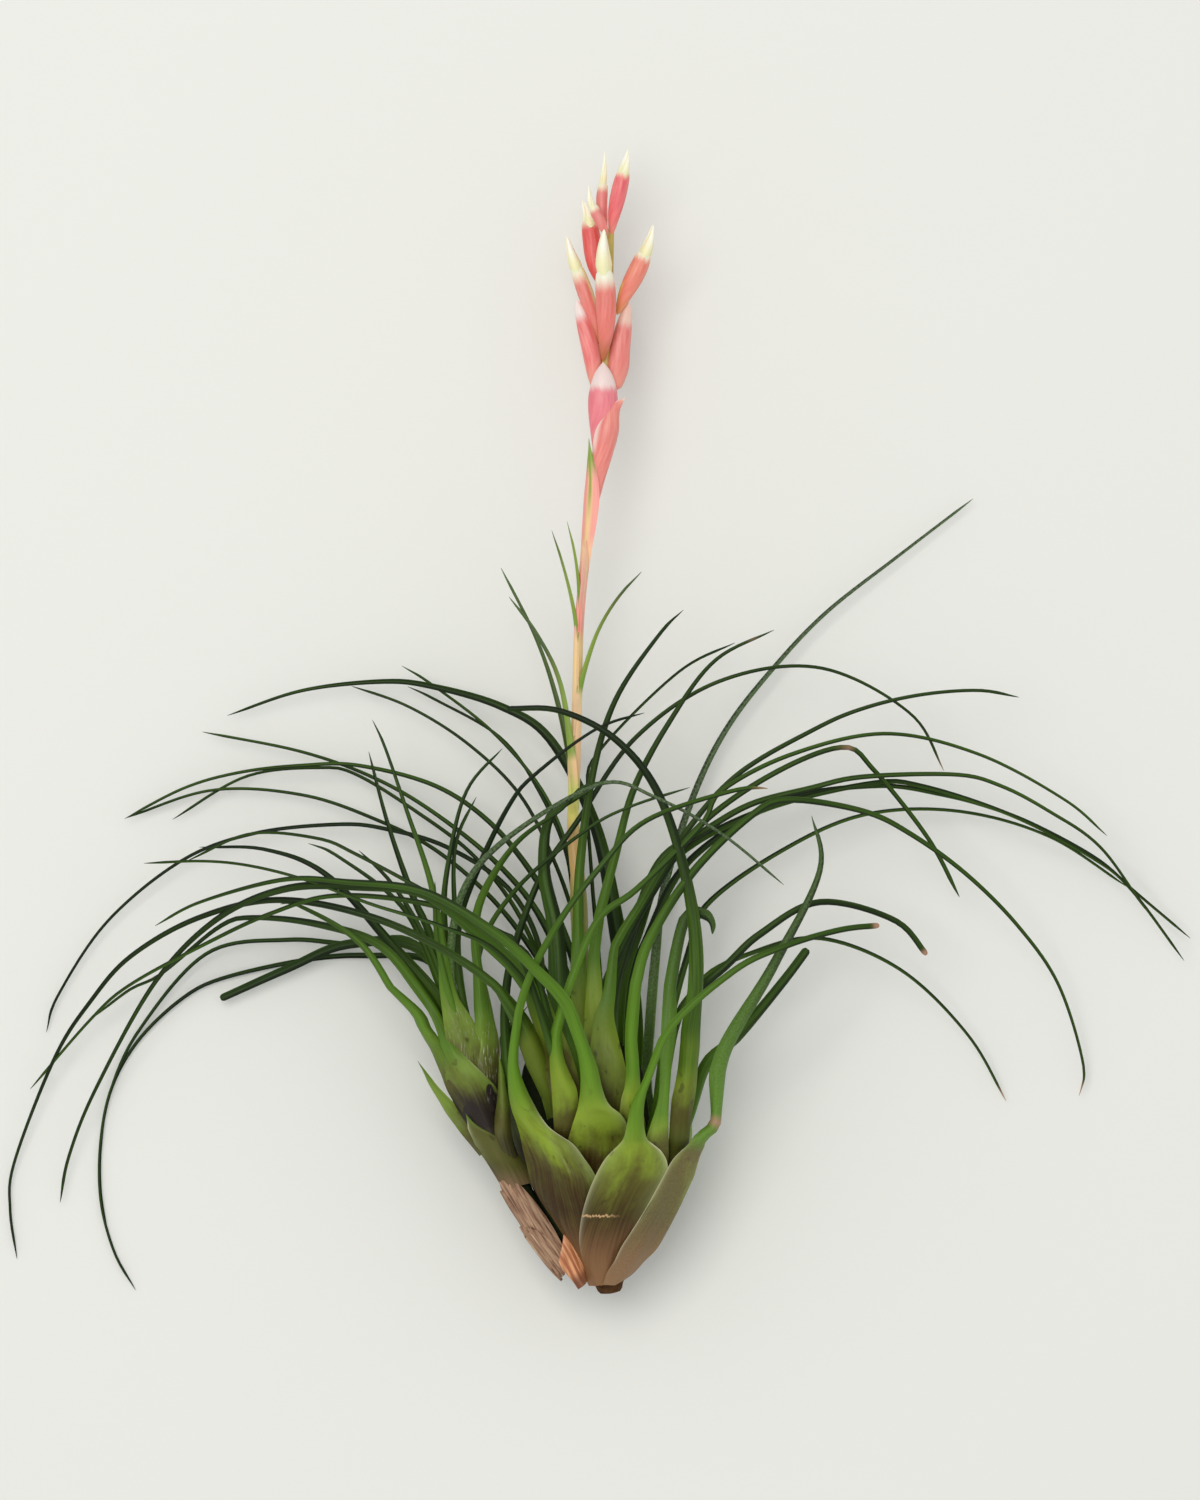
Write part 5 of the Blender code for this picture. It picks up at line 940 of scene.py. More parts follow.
profile = smooth_line([(max(radius, 0.2), height) for radius, height in reversed(MAIN_CORE)], spacing=1.0)
slack = CORE_SLACK * smooth_step((profile[:, 1] - 4) / 14)
profile[:, 0] = np.maximum(profile[:, 0] - slack, 0.15)

wood_and_painted_shade, tree = new_material("wood_foot_and_painted_shade", 0.95, Specular_IOR_Level=0.05)
grain = add_node(tree, "TexNoise", {"Vector": add_node(tree, "TexCoord", output="Object"),
                                    "Scale": 1 / (GRAIN_SIZE * MM), "Detail": 4.0})
bark = paint(tree, "#2A1D12", ("#6B4A2E", grain))
painted_heart_shade = paint(tree, "#0E120A", ("#232A16", grain))
# painted shade: above the foot the finish turns nearly black, for the shade deep inside the bulb
link_finish(tree, paint(tree, bark, (painted_heart_shade, (along_plant(tree), -28 * MM, -21 * MM))), grain, 0.5, 0.3)

core = Skin()
core.add(*turned(profile, CORE_AXIS, CORE_FLAT))
core.finish("bulb_core", wood_and_painted_shade, "leaf", "main_rosette")

# %% [markdown]
# ## The offset rosette
# A young shoot on a bent stalk leans on the bulb's left side. Its leaves are the same surface, smaller, and
# its bulb is a swelling at the top of the stalk. A scaled copy of the main rosette would be quicker, but the
# shoot's leaves fan out another way, so they are listed as well.

# %% Offset rosette's leaves
OFFSET_AXIS = ((-10.4, -25.5, 17.5), (-32.5, 24.0, 19.5))
OFFSET_CORE = ((-6.2, -28.8, 18.2, 1.7), (-10.4, -24.4, 18, 2), (-16.8, -15, 17.8, 2.2), (-21.6, -6, 18, 2.7),
    (-26, 4, 18, 3.5), (-29.5, 14, 18.2, 4.6), (-31.6, 21, 18.6, 4.2), (-33.6, 28, 19.2, 2.6),
    (-34.6, 32, 19.6, 1))
OFFSET_LEAVES = (
    ("outer_left_1", 2.6, 0.6, 9, 20, [(-24, 4.5, 20), (-29, 12, 23), (-44, 27.5, 25), (-54.5, 44, 27),
     (-68, 52.5, 26), (-73.5, 53, 25)]),
    ("outer_left_2", 2.6, 0.5, 0, 0, [(-26.5, 12, 17), (-34, 21, 17), (-38, 32, 17.5), (-48, 44, 18.5),
     (-62.5, 59.5, 18.5), (-76, 65, 16), (-90.5, 65.5, 14)]),
    ("outer_left_3", 1.9, 0.4, 0, 0, [(-26.5, 11, 19), (-39.5, 30, 20.5), (-50, 43.5, 21.5), (-64, 48.5, 21),
     (-78.5, 50, 19), (-86, 48, 17), (-99, 37.5, 12), (-106, 34, 10), (-114.5, 27.5, 8)]),
    ("inner_left_1", 1.3, 0.35, 0, 0, [(-27, 13, 18), (-32.5, 25.5, 19), (-40.5, 45, 20.5), (-48, 57.5, 21),
     (-56, 65.5, 20.5)]),
    ("inner_left_2", 1.2, 0.35, 0, 0, [(-27, 12, 16), (-33.5, 24, 15.5), (-37.5, 35, 15), (-45.5, 52, 15),
     (-60, 63.5, 14), (-67, 66.5, 13)]),
    ("upright_1", 2, 0.35, 8, 18, [(-24, 4.5, 19), (-31, 23, 23.5), (-36, 40.5, 23.5), (-39.5, 58, 24),
     (-44.5, 73, 24), (-49.5, 87.5, 23.5), (-52.5, 94, 23)]),
    ("upright_2", 1.8, 0.35, 0, 0, [(-27.5, 13, 18), (-33.5, 27.5, 18.5), (-39.5, 46, 19), (-43.5, 55, 19),
     (-49, 71, 19), (-53.5, 88, 18)]),
    ("upright_3", 1.4, 0.4, 0, 0, [(-27, 14.5, 20), (-34, 32, 20), (-36.5, 49.5, 20), (-35.5, 62.5, 20.5),
     (-31.5, 78, 21), (-23, 88, 21)]),
    ("upright_4", 1.2, 0.35, 0, 0, [(-27, 14.5, 18), (-32, 32, 18), (-34, 49.5, 18), (-34, 66, 18),
     (-29, 77.5, 18)]),
    ("upright_5", 1.2, 0.35, 0, 0, [(-28.5, 18.5, 20), (-34, 29.5, 24), (-38, 45, 25.5), (-38.5, 58.5, 26)]),
    ("across_1", 1.4, 0.4, 0, 0, [(-27, 14.5, 19), (-32, 32, 21), (-33.5, 47.5, 22.5), (-28.5, 62, 26),
     (-22, 75, 30), (-16.5, 81.5, 32), (-3, 91.5, 33.5), (9, 95.5, 32)]),
    ("across_2", 1.3, 0.4, 0, 0, [(-27.5, 15.5, 20), (-32, 25.5, 21.5), (-35, 40.5, 23), (-32, 56.5, 26),
     (-22, 68, 32), (-2, 79.5, 40.5), (10, 76.5, 42.5), (24.5, 68.5, 42.5), (38.5, 57, 39)]),
    ("across_3", 2.6, 0.4, 8, 18, [(-24, 4.5, 20), (-26.5, 21, 23.5), (-28.5, 36.5, 24), (-29, 52, 25.5),
     (-21, 66, 31), (-10.5, 74, 35), (-6.5, 78.5, 36), (0.5, 80.5, 36)]),
    ("across_4", 0.8, 0.35, 0, 0, [(-26.5, 14.5, 18), (-28.5, 25.5, 19), (-28.5, 43, 22), (-20, 57, 29),
     (-5, 69.5, 34), (4.5, 74.5, 35), (18.5, 79, 35)]),
    ("floor_left_1", 1.2, 0.5, 5, 20, [(-24, 4.5, 17), (-29, 13, 11), (-32.5, 24, 8.5), (-35, 35, 7.5),
     (-44.5, 45, 5), (-56.5, 44, 4), (-71, 45, 3.5), (-89, 42, 3), (-104, 25, 2), (-110.5, 11, 1.5),
     (-112.5, -0.5, 1), (-112.5, -11, 1), (-111, -19, 1)]),
    ("floor_left_2", 1, 0.4, 0, 0, [(-26.5, 11, 16), (-32.5, 23, 8), (-39, 39.5, 3.5), (-53.5, 41.5, 2),
     (-67.5, 40.5, 2), (-85.5, 36.5, 1.5), (-94.5, 32, 1.5), (-104, 23, 1), (-110, 12.5, 1), (-112.5, 0.5, 1),
     (-112.5, -12.5, 1), (-109.5, -24, 1), (-104.8, -32.4, 1)]),
    ("floor_left_3", 1.7, 1.4, 0, 0, [(-27, 13, 16), (-32.5, 27.5, 11), (-42, 43, 8.5), (-58, 44, 7),
     (-71.5, 38.5, 5), (-86, 32, 4)]),
    ("foot_scale_1", 2.2, 0.35, 4.5, 14, [(-23, -7.5, 17), (-28, -1.5, 18.5), (-36.5, 10.5, 20),
     (-42.5, 18.5, 19.5)]),
    ("foot_scale_2", 1.6, 0.35, 6.5, 12, [(-18.5, -14.5, 18), (-23, -5.5, 20.5), (-26.5, 0, 21.5),
     (-32, 7, 21)]),
    ("foot_scale_3", 1.2, 0.35, 3.5, 12, [(-20, -9, 19), (-22.5, -1, 22), (-24, 7.5, 23), (-24.5, 20.5, 23)]),
)
print("offset leaves:", len(OFFSET_LEAVES))

# %% Outlines of the offset's sheaths
OFFSET_SPOONS = {
    "outer_left_1": (0, [(-30.8, 5.5, -26, 5.9), (-34.1, 9.2, -28.6, 9.9), (-35.9, 12.1, -30.8, 13.2),
        (-37, 15, -32.6, 16.9), (-38.3, 18.3, -35.2, 19.8), (-39.4, 20.9, -36.1, 21.6),
        (-40.9, 23.5, -37.6, 23.5, 24.4), (-42.5, 26.4, -39.6, 26.2, 24.8), (-43.8, 29, -41.1, 29.3, 25.2)]),
    "outer_left_3": (0.8, [(-28.6, 1.5, -23.5, 2), (-31.2, 4.6, -23.8, 5.3), (-33.4, 7.7, -24.2, 8.6),
        (-35.2, 11, -25.1, 12.3), (-36.1, 14.3, -27.5, 15.2), (-36.4, 16.5, -30.1, 17.8),
        (-36.6, 18.9, -32.6, 20.2), (-37.2, 21.6, -34.4, 22.4, 24), (-37.8, 24, -35.4, 24, 23.2),
        (-38.7, 26.6, -36.1, 26.2, 22.4), (-40.3, 29.7, -37.6, 29.3, 21.4)]),
    "across_3": (0.4, [(-29.9, 7.3, -24.2, 7.3), (-30.4, 11, -24.2, 11.7), (-30.4, 14.3, -24.3, 14.7),
        (-30.4, 18.3, -24.4, 19.1), (-29.9, 22, -24.6, 23.1), (-29.7, 26.4, -25.5, 27.5, 24),
        (-29.9, 30.8, -26.4, 31.9, 24)]),
    "upright_1": (0, [(-34.1, 9.9, -27.5, 10.3), (-35.2, 14.3, -27.7, 14.7), (-35.6, 18.7, -28.2, 19.1),
        (-36.1, 23.1, -28.6, 24), (-36.7, 27.5, -30.4, 27.9, 24), (-37.2, 31.9, -33, 31.9, 24),
        (-37.6, 35.9, -34.5, 35.9, 24)]),
    "foot_scale_2": (1.1, [(-23.4, -9.7, -17.6, -8.4, 21.3), (-24.9, -7.3, -17.8, -6.4, 22.2),
        (-27.1, -3.7, -19.4, -3.3), (-29, -0.9, -20.9, -1.1), (-30.1, 1.5, -22.4, 0.9), (-31, 3.7, -26, 2.6),
        (-31.7, 5.7, -29, 4.2), (-32.1, 7.3, -31.5, 6.6)]),
    "foot_scale_1": (0.3, [(-28.6, -2.4, -26.8, -1.1), (-31.5, 1.1, -29, 2.9), (-33.9, 4, -31.5, 5.9),
        (-36.1, 7, -33.7, 8.6), (-37.8, 9.9, -36.1, 11), (-39.6, 12.8, -38.3, 13.4), (-41.1, 15.8, -40.3, 16.1),
        (-42.6, 18.5, -42.2, 18.6)]),
    "foot_scale_3": (1, [(-22.7, -5.1, -19.6, -4.4, 21.6), (-24.4, -1.1, -20.7, -1.1, 22.8),
        (-25.3, 2.4, -21.6, 2.4, 23.4), (-25.3, 6, -21.9, 6, 23.8), (-24.8, 9.6, -22.4, 9.6, 24),
        (-24.6, 13.2, -23, 13.2, 24), (-24.6, 16.8, -23.4, 16.8, 24), (-24.7, 20, -24.3, 20, 24)]),
}
print("drawn sheaths:", len(OFFSET_SPOONS))


# %% The whole shoot
def carry(line, at, wide, deep, angle):
    """A rounded profile carried along a line: point = line at that distance + the level direction across it
    * wide * cos(angle) + the upward direction across it * deep * sin(angle)."""
    travelled = distances_along(line)
    heading = sample(unit(np.gradient(line[:, :3], axis=0)), travelled, at)
    side = unit(np.cross(heading, UP))
    top = np.cross(side, heading)
    place = sample(line[:, :3], travelled, at)
    return place + side * (wide * np.cos(angle))[..., None] + top * (deep * np.sin(angle))[..., None]


def tube(route, columns=28, spacing=0.6, ribs=0, rib_depth=0.0):
    """A profile carried along a path: a circle of the route's own radius, with shallow ribs."""
    line = smooth_line(route, spacing)
    angle = full_turn(columns)
    along, radius = distances_along(line)[:, None], line[:, 3:]
    ribbed = radius * (1 + rib_depth * np.cos(ribs * angle))
    uv = np.stack(np.broadcast_arrays(angle * radius, along), axis=-1)
    return carry(line, along, ribbed, ribbed, angle), uv


offset_skin, stalk = Skin(), Skin()
for spec in OFFSET_LEAVES:
    add_leaf(offset_skin, spec, OFFSET_AXIS, rng, OFFSET_SPOONS.get(spec[0]), OFFSET_BULB,
             **{"drop": 0, **LEAF_LOOKS.get(spec[0], {})})
offset_skin.finish("offset_leaves", offset_leaf, "offset_leaf", "offset_rosette")
# the stalk wears the core's finish, so above its foot it is painted nearly black: painted shade between the two
# rosettes
stalk.add(*tube(OFFSET_CORE))
stalk.finish("offset_stalk", wood_and_painted_shade, "offset_leaf", "offset_rosette")

# %% [markdown]
# ## The flower stem
# The stem is fleshy and faintly ribbed, green low down and peach to coral higher up, and its skin lets a
# little light in. It could be a curve with a round bevel, but that gives no ribs. A ribbed circle is carried
# along the route instead, and its tints sit on a colour ramp by their height along the stem.

# %% Stem
# (x, y, z, radius)
STEM_ROUTE = ((-1.5, -1, 19.5, 1.4), (-4.4, 14.3, 20, 1.4), (-6.6, 35.2, 21, 1.4), (-7, 53.9, 21, 1.35),
    (-8.2, 69.3, 21, 1.3), (-7.7, 84.7, 21, 1.2), (-7.3, 97.9, 21, 1.1), (-7, 111.1, 21.5, 1.05),
    (-6.4, 119.9, 22, 1), (-5.5, 128.7, 22, 1), (-4, 141.9, 22.5, 0.95), (-1.8, 152.9, 23, 0.9),
    (-1.1, 163.9, 23, 0.85), (-1, 172.7, 23, 0.8), (-0.2, 185.9, 23, 0.75), (0.2, 201.5, 23.2, 0.7))
# (height along Y in millimetres, colour): green at the foot, then peach, and coral near the flowers
STEM_TINTS = ((30, "#66761E"), (54, "#848A36"), (60, "#BE9C58"), (69, "#D0AA6A"), (73, "#EAE270"),
    (78, "#C6CC60"), (82, "#F0C48C"), (98, "#F6CFA0"), (106, "#F6CE90"), (111, "#F4CE98"), (113.5, "#F4A094"),
    (124, "#F8A69A"), (131, "#F8C8A0"), (134, "#F49A8C"), (146, "#F09088"), (172, "#B5A04C"))
RAMP_LENGTH = 200.0


def stem_tints(tree):
    """The tints above, read by where a point lies along the stem."""
    along = add_node(tree, "MapRange", {0: along_plant(tree), 2: RAMP_LENGTH * MM})
    tints = add_node(tree, "ValToRGB", {0: along})
    elements = tints.node.color_ramp.elements
    for height, tint in STEM_TINTS:
        elements.new(height / RAMP_LENGTH).color = linear(tint)
    for end in (0, -1):
        elements[end].color = linear(STEM_TINTS[end][1])
    return tints


stem_flesh, tree = new_material("fleshy_stem", 0.45, Subsurface_Weight=0.08)
# ribs of the skin, 0.6 mm wide and 20 mm long. The fibres in them are under 0.1 mm, too fine to show
fibres = streaks(tree, 1.6, 0.05)
link_finish(tree, paint(tree, stem_tints(tree), ("#E8B98A", (fibres, 0.45, 0.7), 0.4)), fibres, 0.3, 0.1)
stem = Skin()
stem.add(*tube(STEM_ROUTE, ribs=5, rib_depth=0.05))
stem.finish("flower_stalk", stem_flesh, "stem", "flower_stem")

# %% [markdown]
# ## Stem leaves
# Seven small leaves wrap the stem. Each has a peach sheath with a yellow-green midline and ends in a thin
# dark green blade, with a few tiny red specks. They are soft tissue with little gloss. They
# could be painted on the stem, but their edges stand off it, so they are leaves like the others, with a
# finish that takes its ground from the stem.

# %% Stem leaves
STEM_BRACTS = (
    ("stem_bract_1", 1.8, 0.35, 3.2, 30, [(-6.4, 36, 21), (-7, 54, 20.6), (-7.8, 69, 20.2), (-8.8, 84, 20),
     (-12, 99, 20.5), (-16.5, 112, 21.5), (-24, 127, 22.5)]),
    ("stem_bract_2", 1.5, 0.35, 2.4, 14, [(-8.2, 74, 21.6), (-8.6, 84, 22.4), (-11, 101, 23.5),
     (-16, 112, 24.5), (-22.5, 121, 25)]),
    ("stem_bract_3", 1.3, 0.35, 2.4, 12, [(-7.4, 90, 21.4), (-6.6, 99, 21.8), (-4.6, 107, 22.5), (-2, 114, 23),
     (2, 120.5, 23.5), (7.3, 126.5, 24)]),
    ("stem_bract_4", 1.8, 0.5, 2.4, 14, [(-7.4, 100, 21.2), (-7.4, 111, 21.6), (-8.2, 118, 22),
     (-10.2, 126.5, 22.4), (-13, 135.8, 22.5)]),
    ("stem_bract_5", 1.5, 0.5, 2.7, 15, [(-7, 108, 20.4), (-6.8, 114, 22), (-6.9, 121, 22.7), (-7.8, 129.5, 23),
     (-9.7, 138.3, 23)]),
    ("stem_bract_6", 0.8, 0.6, 3.3, 34, [(-7, 108.4, 20.2), (-6.5, 114, 22), (-5.8, 122, 22.9),
     (-4.9, 131, 22.9), (-4.3, 137, 22.2)]),
    ("stem_bract_7", 0.5, 0.3, 3.9, 28.5, [(-5.8, 126, 21), (-5.2, 132, 23.1), (-4.6, 139, 24),
     (-4.2, 146, 24.3), (-4.4, 151, 24.2), (-4.7, 156.5, 23.8)]),
)


def stem_axis(leaf):
    """The stretch of the flower stem beside a stem leaf's foot, as an axis for that leaf."""
    line = smooth_line(STEM_ROUTE, spacing=1.0)[:, :3]
    foot = int(np.argmin(np.abs(line[:, 1] - leaf[5][0][1])))
    return line[foot], line[min(foot + 12, len(line) - 1)]


stem_tissue, tree = new_material("stem_leaf_tissue", 0.42, Subsurface_Weight=0.06)
veins = streaks(tree, 1.8, 0.05)          # 0.55 mm apart, as coarse as the leaves' veins are drawn
specks = streaks(tree, 1.6, 0.9, 1.0)     # 0.6 mm wide
height = along_plant(tree)
off_middle = add_node(tree, "Math", {0: "across"}, operation="ABSOLUTE")
midline = paint(tree, "#9CB040", ("#F0DC90", (height, 70 * MM, 104 * MM)))
wrap = paint(tree, stem_tints(tree),
             ("#EDBFA2", (veins, 0.4, 0.75), 0.3),
             (midline, (off_middle, 0.62, 0.0), 0.7),
             ("#84963A", (off_middle, 0.3, 0.05), (height, 136 * MM, 145 * MM), 0.85),
             ("#A4503C", (specks, 0.72, 0.78), 0.7))
blade = paint(tree, "#2F4A16", ("#7C9A30", ("young", 0.6, 1.0)))
link_finish(tree, paint(tree, blade, (wrap, ("sheath", 0.15, 0.75))), veins, 0.3, 0.1)
stem_leaves = Skin()
for spec in STEM_BRACTS:
    add_leaf(stem_leaves, spec, stem_axis(spec), rng, ease=0.5)
stem_leaves.finish("stem_leaves", stem_tissue, "stem", "flower_stem")

# %% [markdown]
# ## Floral bracts
# Each flower sits in a fleshy bract: the lowest are scales that wrap the stem, the others are pods with an
# open, pointed mouth. A pod could be a sphere pulled into shape by hand. Here it is an ellipse carried along
# its line, and its mouth is cut at a slant, longest on the outer side, so eleven of them take one function.

# %% Pod surface
# (share of the length, share of the greatest width)
SCALE_OUTLINE = ((0, 0.3), (0.2, 0.62), (0.45, 0.95), (0.65, 1), (0.86, 0.66), (1, 0.08))
POD_OUTLINE = ((0, 0.14), (0.15, 0.5), (0.38, 0.84), (0.62, 1), (0.85, 0.95), (1, 0.76))
WRAP_OUTLINE = ((0, 0.16), (0.12, 0.36), (0.28, 0.56), (0.48, 0.88), (0.68, 1), (0.84, 0.62), (0.94, 0.26),
    (1, 0.06))
LEFT_OUTLINE = ((0, 0.6), (0.2, 0.95), (0.45, 1), (0.7, 0.85), (0.88, 0.55), (1, 0.12))
RIGHT_OUTLINE = ((0, 0.35), (0.1, 0.7), (0.27, 1), (0.5, 0.86), (0.75, 0.66), (0.9, 0.42), (1, 0.1))
WALL = 0.3
MOUTH_ROWS = 12        # rows of the wall that runs back inside


def pod(outline, width, depth, points, slant, columns=40, rows=46):
    """Point (t, a) = line at t + side * w(t) cos a + top * d(t) sin a. The outline gives w and d as
    shares of the widest, and t ends earlier on the side away from the lip. The wall then turns in at
    the mouth and runs back inside, a wall's thickness smaller."""
    line = smooth_line(points, spacing=0.25)
    t = np.concatenate([np.linspace(0, 1, rows), np.linspace(0.995, 0.6, MOUTH_ROWS)])[:, None]
    angle = full_turn(columns)
    inside = (np.arange(len(t)) >= rows)[:, None]
    at = t * (1 - slant * (1 - np.sin(angle)) / 2)
    share = np.interp(at, *smooth_line(outline, spacing=0.01).T) * np.sqrt(np.clip(t / 0.04 + 0.02, 0, 1))
    wide, deep = (np.maximum(share * size / 2 - WALL * inside, 0.05) for size in (width, depth))
    travelled = at * distances_along(line)[-1]
    uv = np.stack([angle * wide, travelled], axis=-1)
    return carry(line, travelled, wide, deep, angle), uv, at, np.cos(angle)


print("pod walls:", WALL, "mm")

# %% [markdown]
# ## Coral flesh
# The bracts are thick, smooth living tissue: light goes in and comes out again, which softens them, and a
# thin wax gives a satin gloss. The coral is browner at the base, streaked with a blush, and fades to a
# whitish tip. One painted picture would need an unwrapped pod each. The layers read how far along the pod a
# point is, and each bract only brings its own tints.

# %% Bract material
BLUSH_EDGE = 0.15


def bract_material(name, base, body, deep, tip, tip_from, tip_to, flank=None):
    """Coral flesh: a darker, browner base, a lighter blush in streaks, a pale tip and a paler rim. A flank
    is (side, tint, from, to): one side tinted between two shares of the length."""
    material, tree = new_material(name, 0.4, Subsurface_Weight=0.12, Subsurface_Scale=2.0 * MM)
    blush = streaks(tree, 1.1, 0.12, 4.0, 0.55)       # 0.9 mm wide, 8 mm long
    layers = [(deep, (blush, 0.35, 0.65)), (base, ("part", 0.35, 0.0)),
              (tip, (uneven(tree, "part", blush, 0.16), tip_from, tip_to))]
    if flank:
        side, tint, first, last = flank
        layers.append((tint, ("face", 0.5 * side, 0.85 * side), ("part", first, first + BLUSH_EDGE),
                       ("part", last, last - BLUSH_EDGE)))
    colour = paint(tree, body, *layers, ("#F0D9C8", ("rim", 0.6, 1.0), 0.7))
    link_finish(tree, colour, blush, 0.35, 0.12)
    return material


print("coral flesh ready")

# %% Bracts
# name, outline, width, depth, points of the middle line, slant of the mouth
FLORAL_BRACTS = (
    ("floral_bract_1", WRAP_OUTLINE, 5.2, 4.4, [(-3.4, 140, 22.6), (-2.5, 146.3, 23.2), (-1.2, 154.6, 23.8),
     (0.6, 161.3, 24.2), (3.4, 164.4, 24.4)]),
    ("floral_bract_2", SCALE_OUTLINE, 6.4, 4.8, [(-2.6, 151.1, 22.6), (-1.8, 159.5, 23.2), (-1.5, 165.7, 23.6),
     (-1.5, 172.3, 24)]),
    ("floral_bract_3", LEFT_OUTLINE, 4, 3.4, [(-2.9, 166.6, 22.2), (-3.7, 172.6, 22.2), (-5, 178.2, 22.4),
     (-7.4, 186.1, 22.6)]),
    ("floral_bract_4", RIGHT_OUTLINE, 5.2, 3.4, [(1.2, 166, 22.2), (1.7, 172.3, 22.3), (2.7, 178.2, 22.4),
     (4.1, 185.5, 22.6)]),
    ("floral_bract_5", POD_OUTLINE, 4.5, 3.6, [(-1.5, 172.3, 25), (-0.9, 179.3, 26), (-0.9, 185.9, 26.8),
     (-1.3, 192.5, 27.2)]),
    ("floral_bract_6", POD_OUTLINE, 3.5, 3, [(-2.2, 176, 22.6), (-3.1, 180.4, 22.6), (-5.5, 187.7, 22.9),
     (-7.5, 193.2, 23)]),
    ("floral_bract_7", POD_OUTLINE, 4.1, 3.3, [(1.5, 182.6, 23.2), (3.5, 187.4, 23.8), (5.9, 192.1, 24.3),
     (7.7, 196.2, 24.6)]),
    ("floral_bract_8", POD_OUTLINE, 4.1, 3.2, [(-0.5, 186.9, 22.2), (-3.1, 193.3, 20.8), (-4, 199.1, 20.1),
     (-4.6, 203.7, 19.8)]),
    ("floral_bract_9", POD_OUTLINE, 3.5, 3.2, [(0.2, 199.8, 23.4), (0.9, 204.6, 24), (2, 209.7, 24.6),
     (3.1, 214.3, 25)]),
    ("floral_bract_10", POD_OUTLINE, 2.5, 2.2, [(-0.9, 200.9, 22.2), (-1.8, 206.8, 21.6), (-1.5, 211.6, 21.4)]),
    ("floral_bract_11", POD_OUTLINE, 2.5, 2.2, [(-0.5, 199.2, 24.2), (-1.6, 202.1, 25), (-3.9, 206.6, 25.8)]),
)
# name: (base, body, deeper streaks, tip, tip from, tip to, flank)
BRACT_LOOKS = {
    # floral_bract_1's pale flank is a painted highlight along its upper left edge
    "floral_bract_1": ("#E79486", "#EA9284", "#E37A72", "#E8C0A4", 0.9, 1.02, (-1, "#F2CFC4", 0.42, 1.3)),
    "floral_bract_2": ("#E5908A", "#EA868C", "#E27680", "#ECD2CC", 0.68, 0.78),
    "floral_bract_3": ("#E49A84", "#EE908A", "#E4706C", "#EEDCD6", 0.72, 0.86),
    "floral_bract_4": ("#E29482", "#E68C82", "#DC746C", "#E6C0B0", 0.68, 0.8),
    "floral_bract_5": ("#B0622F", "#E6827A", "#DE7262", "#F0EAD2", 0.74, 0.93),
    "floral_bract_6": ("#C0743A", "#E68C80", "#E2766C", "#F0E8C8", 0.75, 0.95, (1, "#EBD6A0", 0.4, 1.2)),
    "floral_bract_7": ("#DA985C", "#EA9078", "#E4796A", "#F0E8CA", 0.85, 0.98, (-1, "#DDB060", -0.2, 0.55)),
    "floral_bract_8": ("#B4603C", "#E66862", "#D84E4C", "#F0DCC0", 0.86, 0.99),
    "floral_bract_9": ("#E08C78", "#EC7C78", "#E05E66", "#F0E6BE", 0.87, 0.99),
    "floral_bract_10": ("#B89A58", "#E8908A", "#DE7872", "#EFE6C4", 0.78, 0.96),
    "floral_bract_11": ("#B8A058", "#E88E86", "#DE7670", "#EFE6C4", 0.78, 0.96),
}
for name, outline, width, depth, points in FLORAL_BRACTS:
    scale_like = outline is not POD_OUTLINE
    rings, uv, part, face = pod(outline, width, depth, points, 0.16 if scale_like else 0.1)
    piece = Skin()
    piece.add(rings, uv, part=part, face=face, rim=scale_like * smooth_step((part - 0.9) / 0.1))
    number = name.split("_")[-1]
    piece.finish(name + "_flesh", bract_material("coral_flesh_" + number, *BRACT_LOOKS[name]), "bract", name)

# %% [markdown]
# ## Petals
# The flowers are still closed: three cream petals rolled round each other, so the section is a circle with
# three low lobes that turn slowly along the length. Three separate petals would hide each other, so one
# rolled surface stands for them. They are thin, soft and matt, let light through, and are yellower low down
# and nearly white at the tip.

# %% Petals
PETAL_OUTLINE = ((0, 0.4), (0.2, 0.6), (0.38, 0.84), (0.5, 0.88), (0.78, 0.52), (1, 0.12))
# name, bract, length, width, lean of the tip
PETALS = (
    ("petals_1", "floral_bract_5", 14.4, 4, 0.6), ("petals_2", "floral_bract_6", 12.6, 3.1, 0.4),
    ("petals_3", "floral_bract_7", 12, 3.2, -0.8), ("petals_4", "floral_bract_8", 10, 3.4, -1),
    ("petals_5", "floral_bract_9", 10.4, 2.8, -0.2), ("petals_6", "floral_bract_10", 12.8, 1.7, -0.2),
    ("petals_7", "floral_bract_11", 10, 1.7, 1.4),
)
PETALS_HIDDEN = 5.5
LOBE_DEPTH = 0.06


def petal_points(bract_points, length, lean):
    """The petals follow the bract's own line: they start inside it and run on past its mouth."""
    line = smooth_line(bract_points)
    heading = unit(line[-1] - line[-8])
    side = unit(np.cross(heading, UP))
    foot = line[-1] - PETALS_HIDDEN * heading
    return [foot, foot + 0.6 * length * heading, foot + length * heading + lean * side]


def petal_roll(width, points, twist, columns=36, rows=44):
    """Point (t, a) = line at t + outline(t) * width / 2 * (1 + lobe depth * cos(3a + twist t)) round it."""
    line = smooth_line(points, spacing=0.25)
    t = np.linspace(0, 1, rows)[:, None]
    angle = full_turn(columns)
    lobe = np.cos(3 * angle + twist * t)
    share = np.interp(t, *smooth_line(PETAL_OUTLINE, spacing=0.01).T)
    share = share * np.sqrt(np.clip((1 - t) / 0.05 + 0.01, 0, 1))
    radius = share * width / 2 * (1 + LOBE_DEPTH * lobe)
    travelled = t * distances_along(line)[-1]
    uv = np.stack(np.broadcast_arrays(angle * radius, travelled), axis=-1)
    return carry(line, travelled, radius, radius, angle), uv, t, lobe


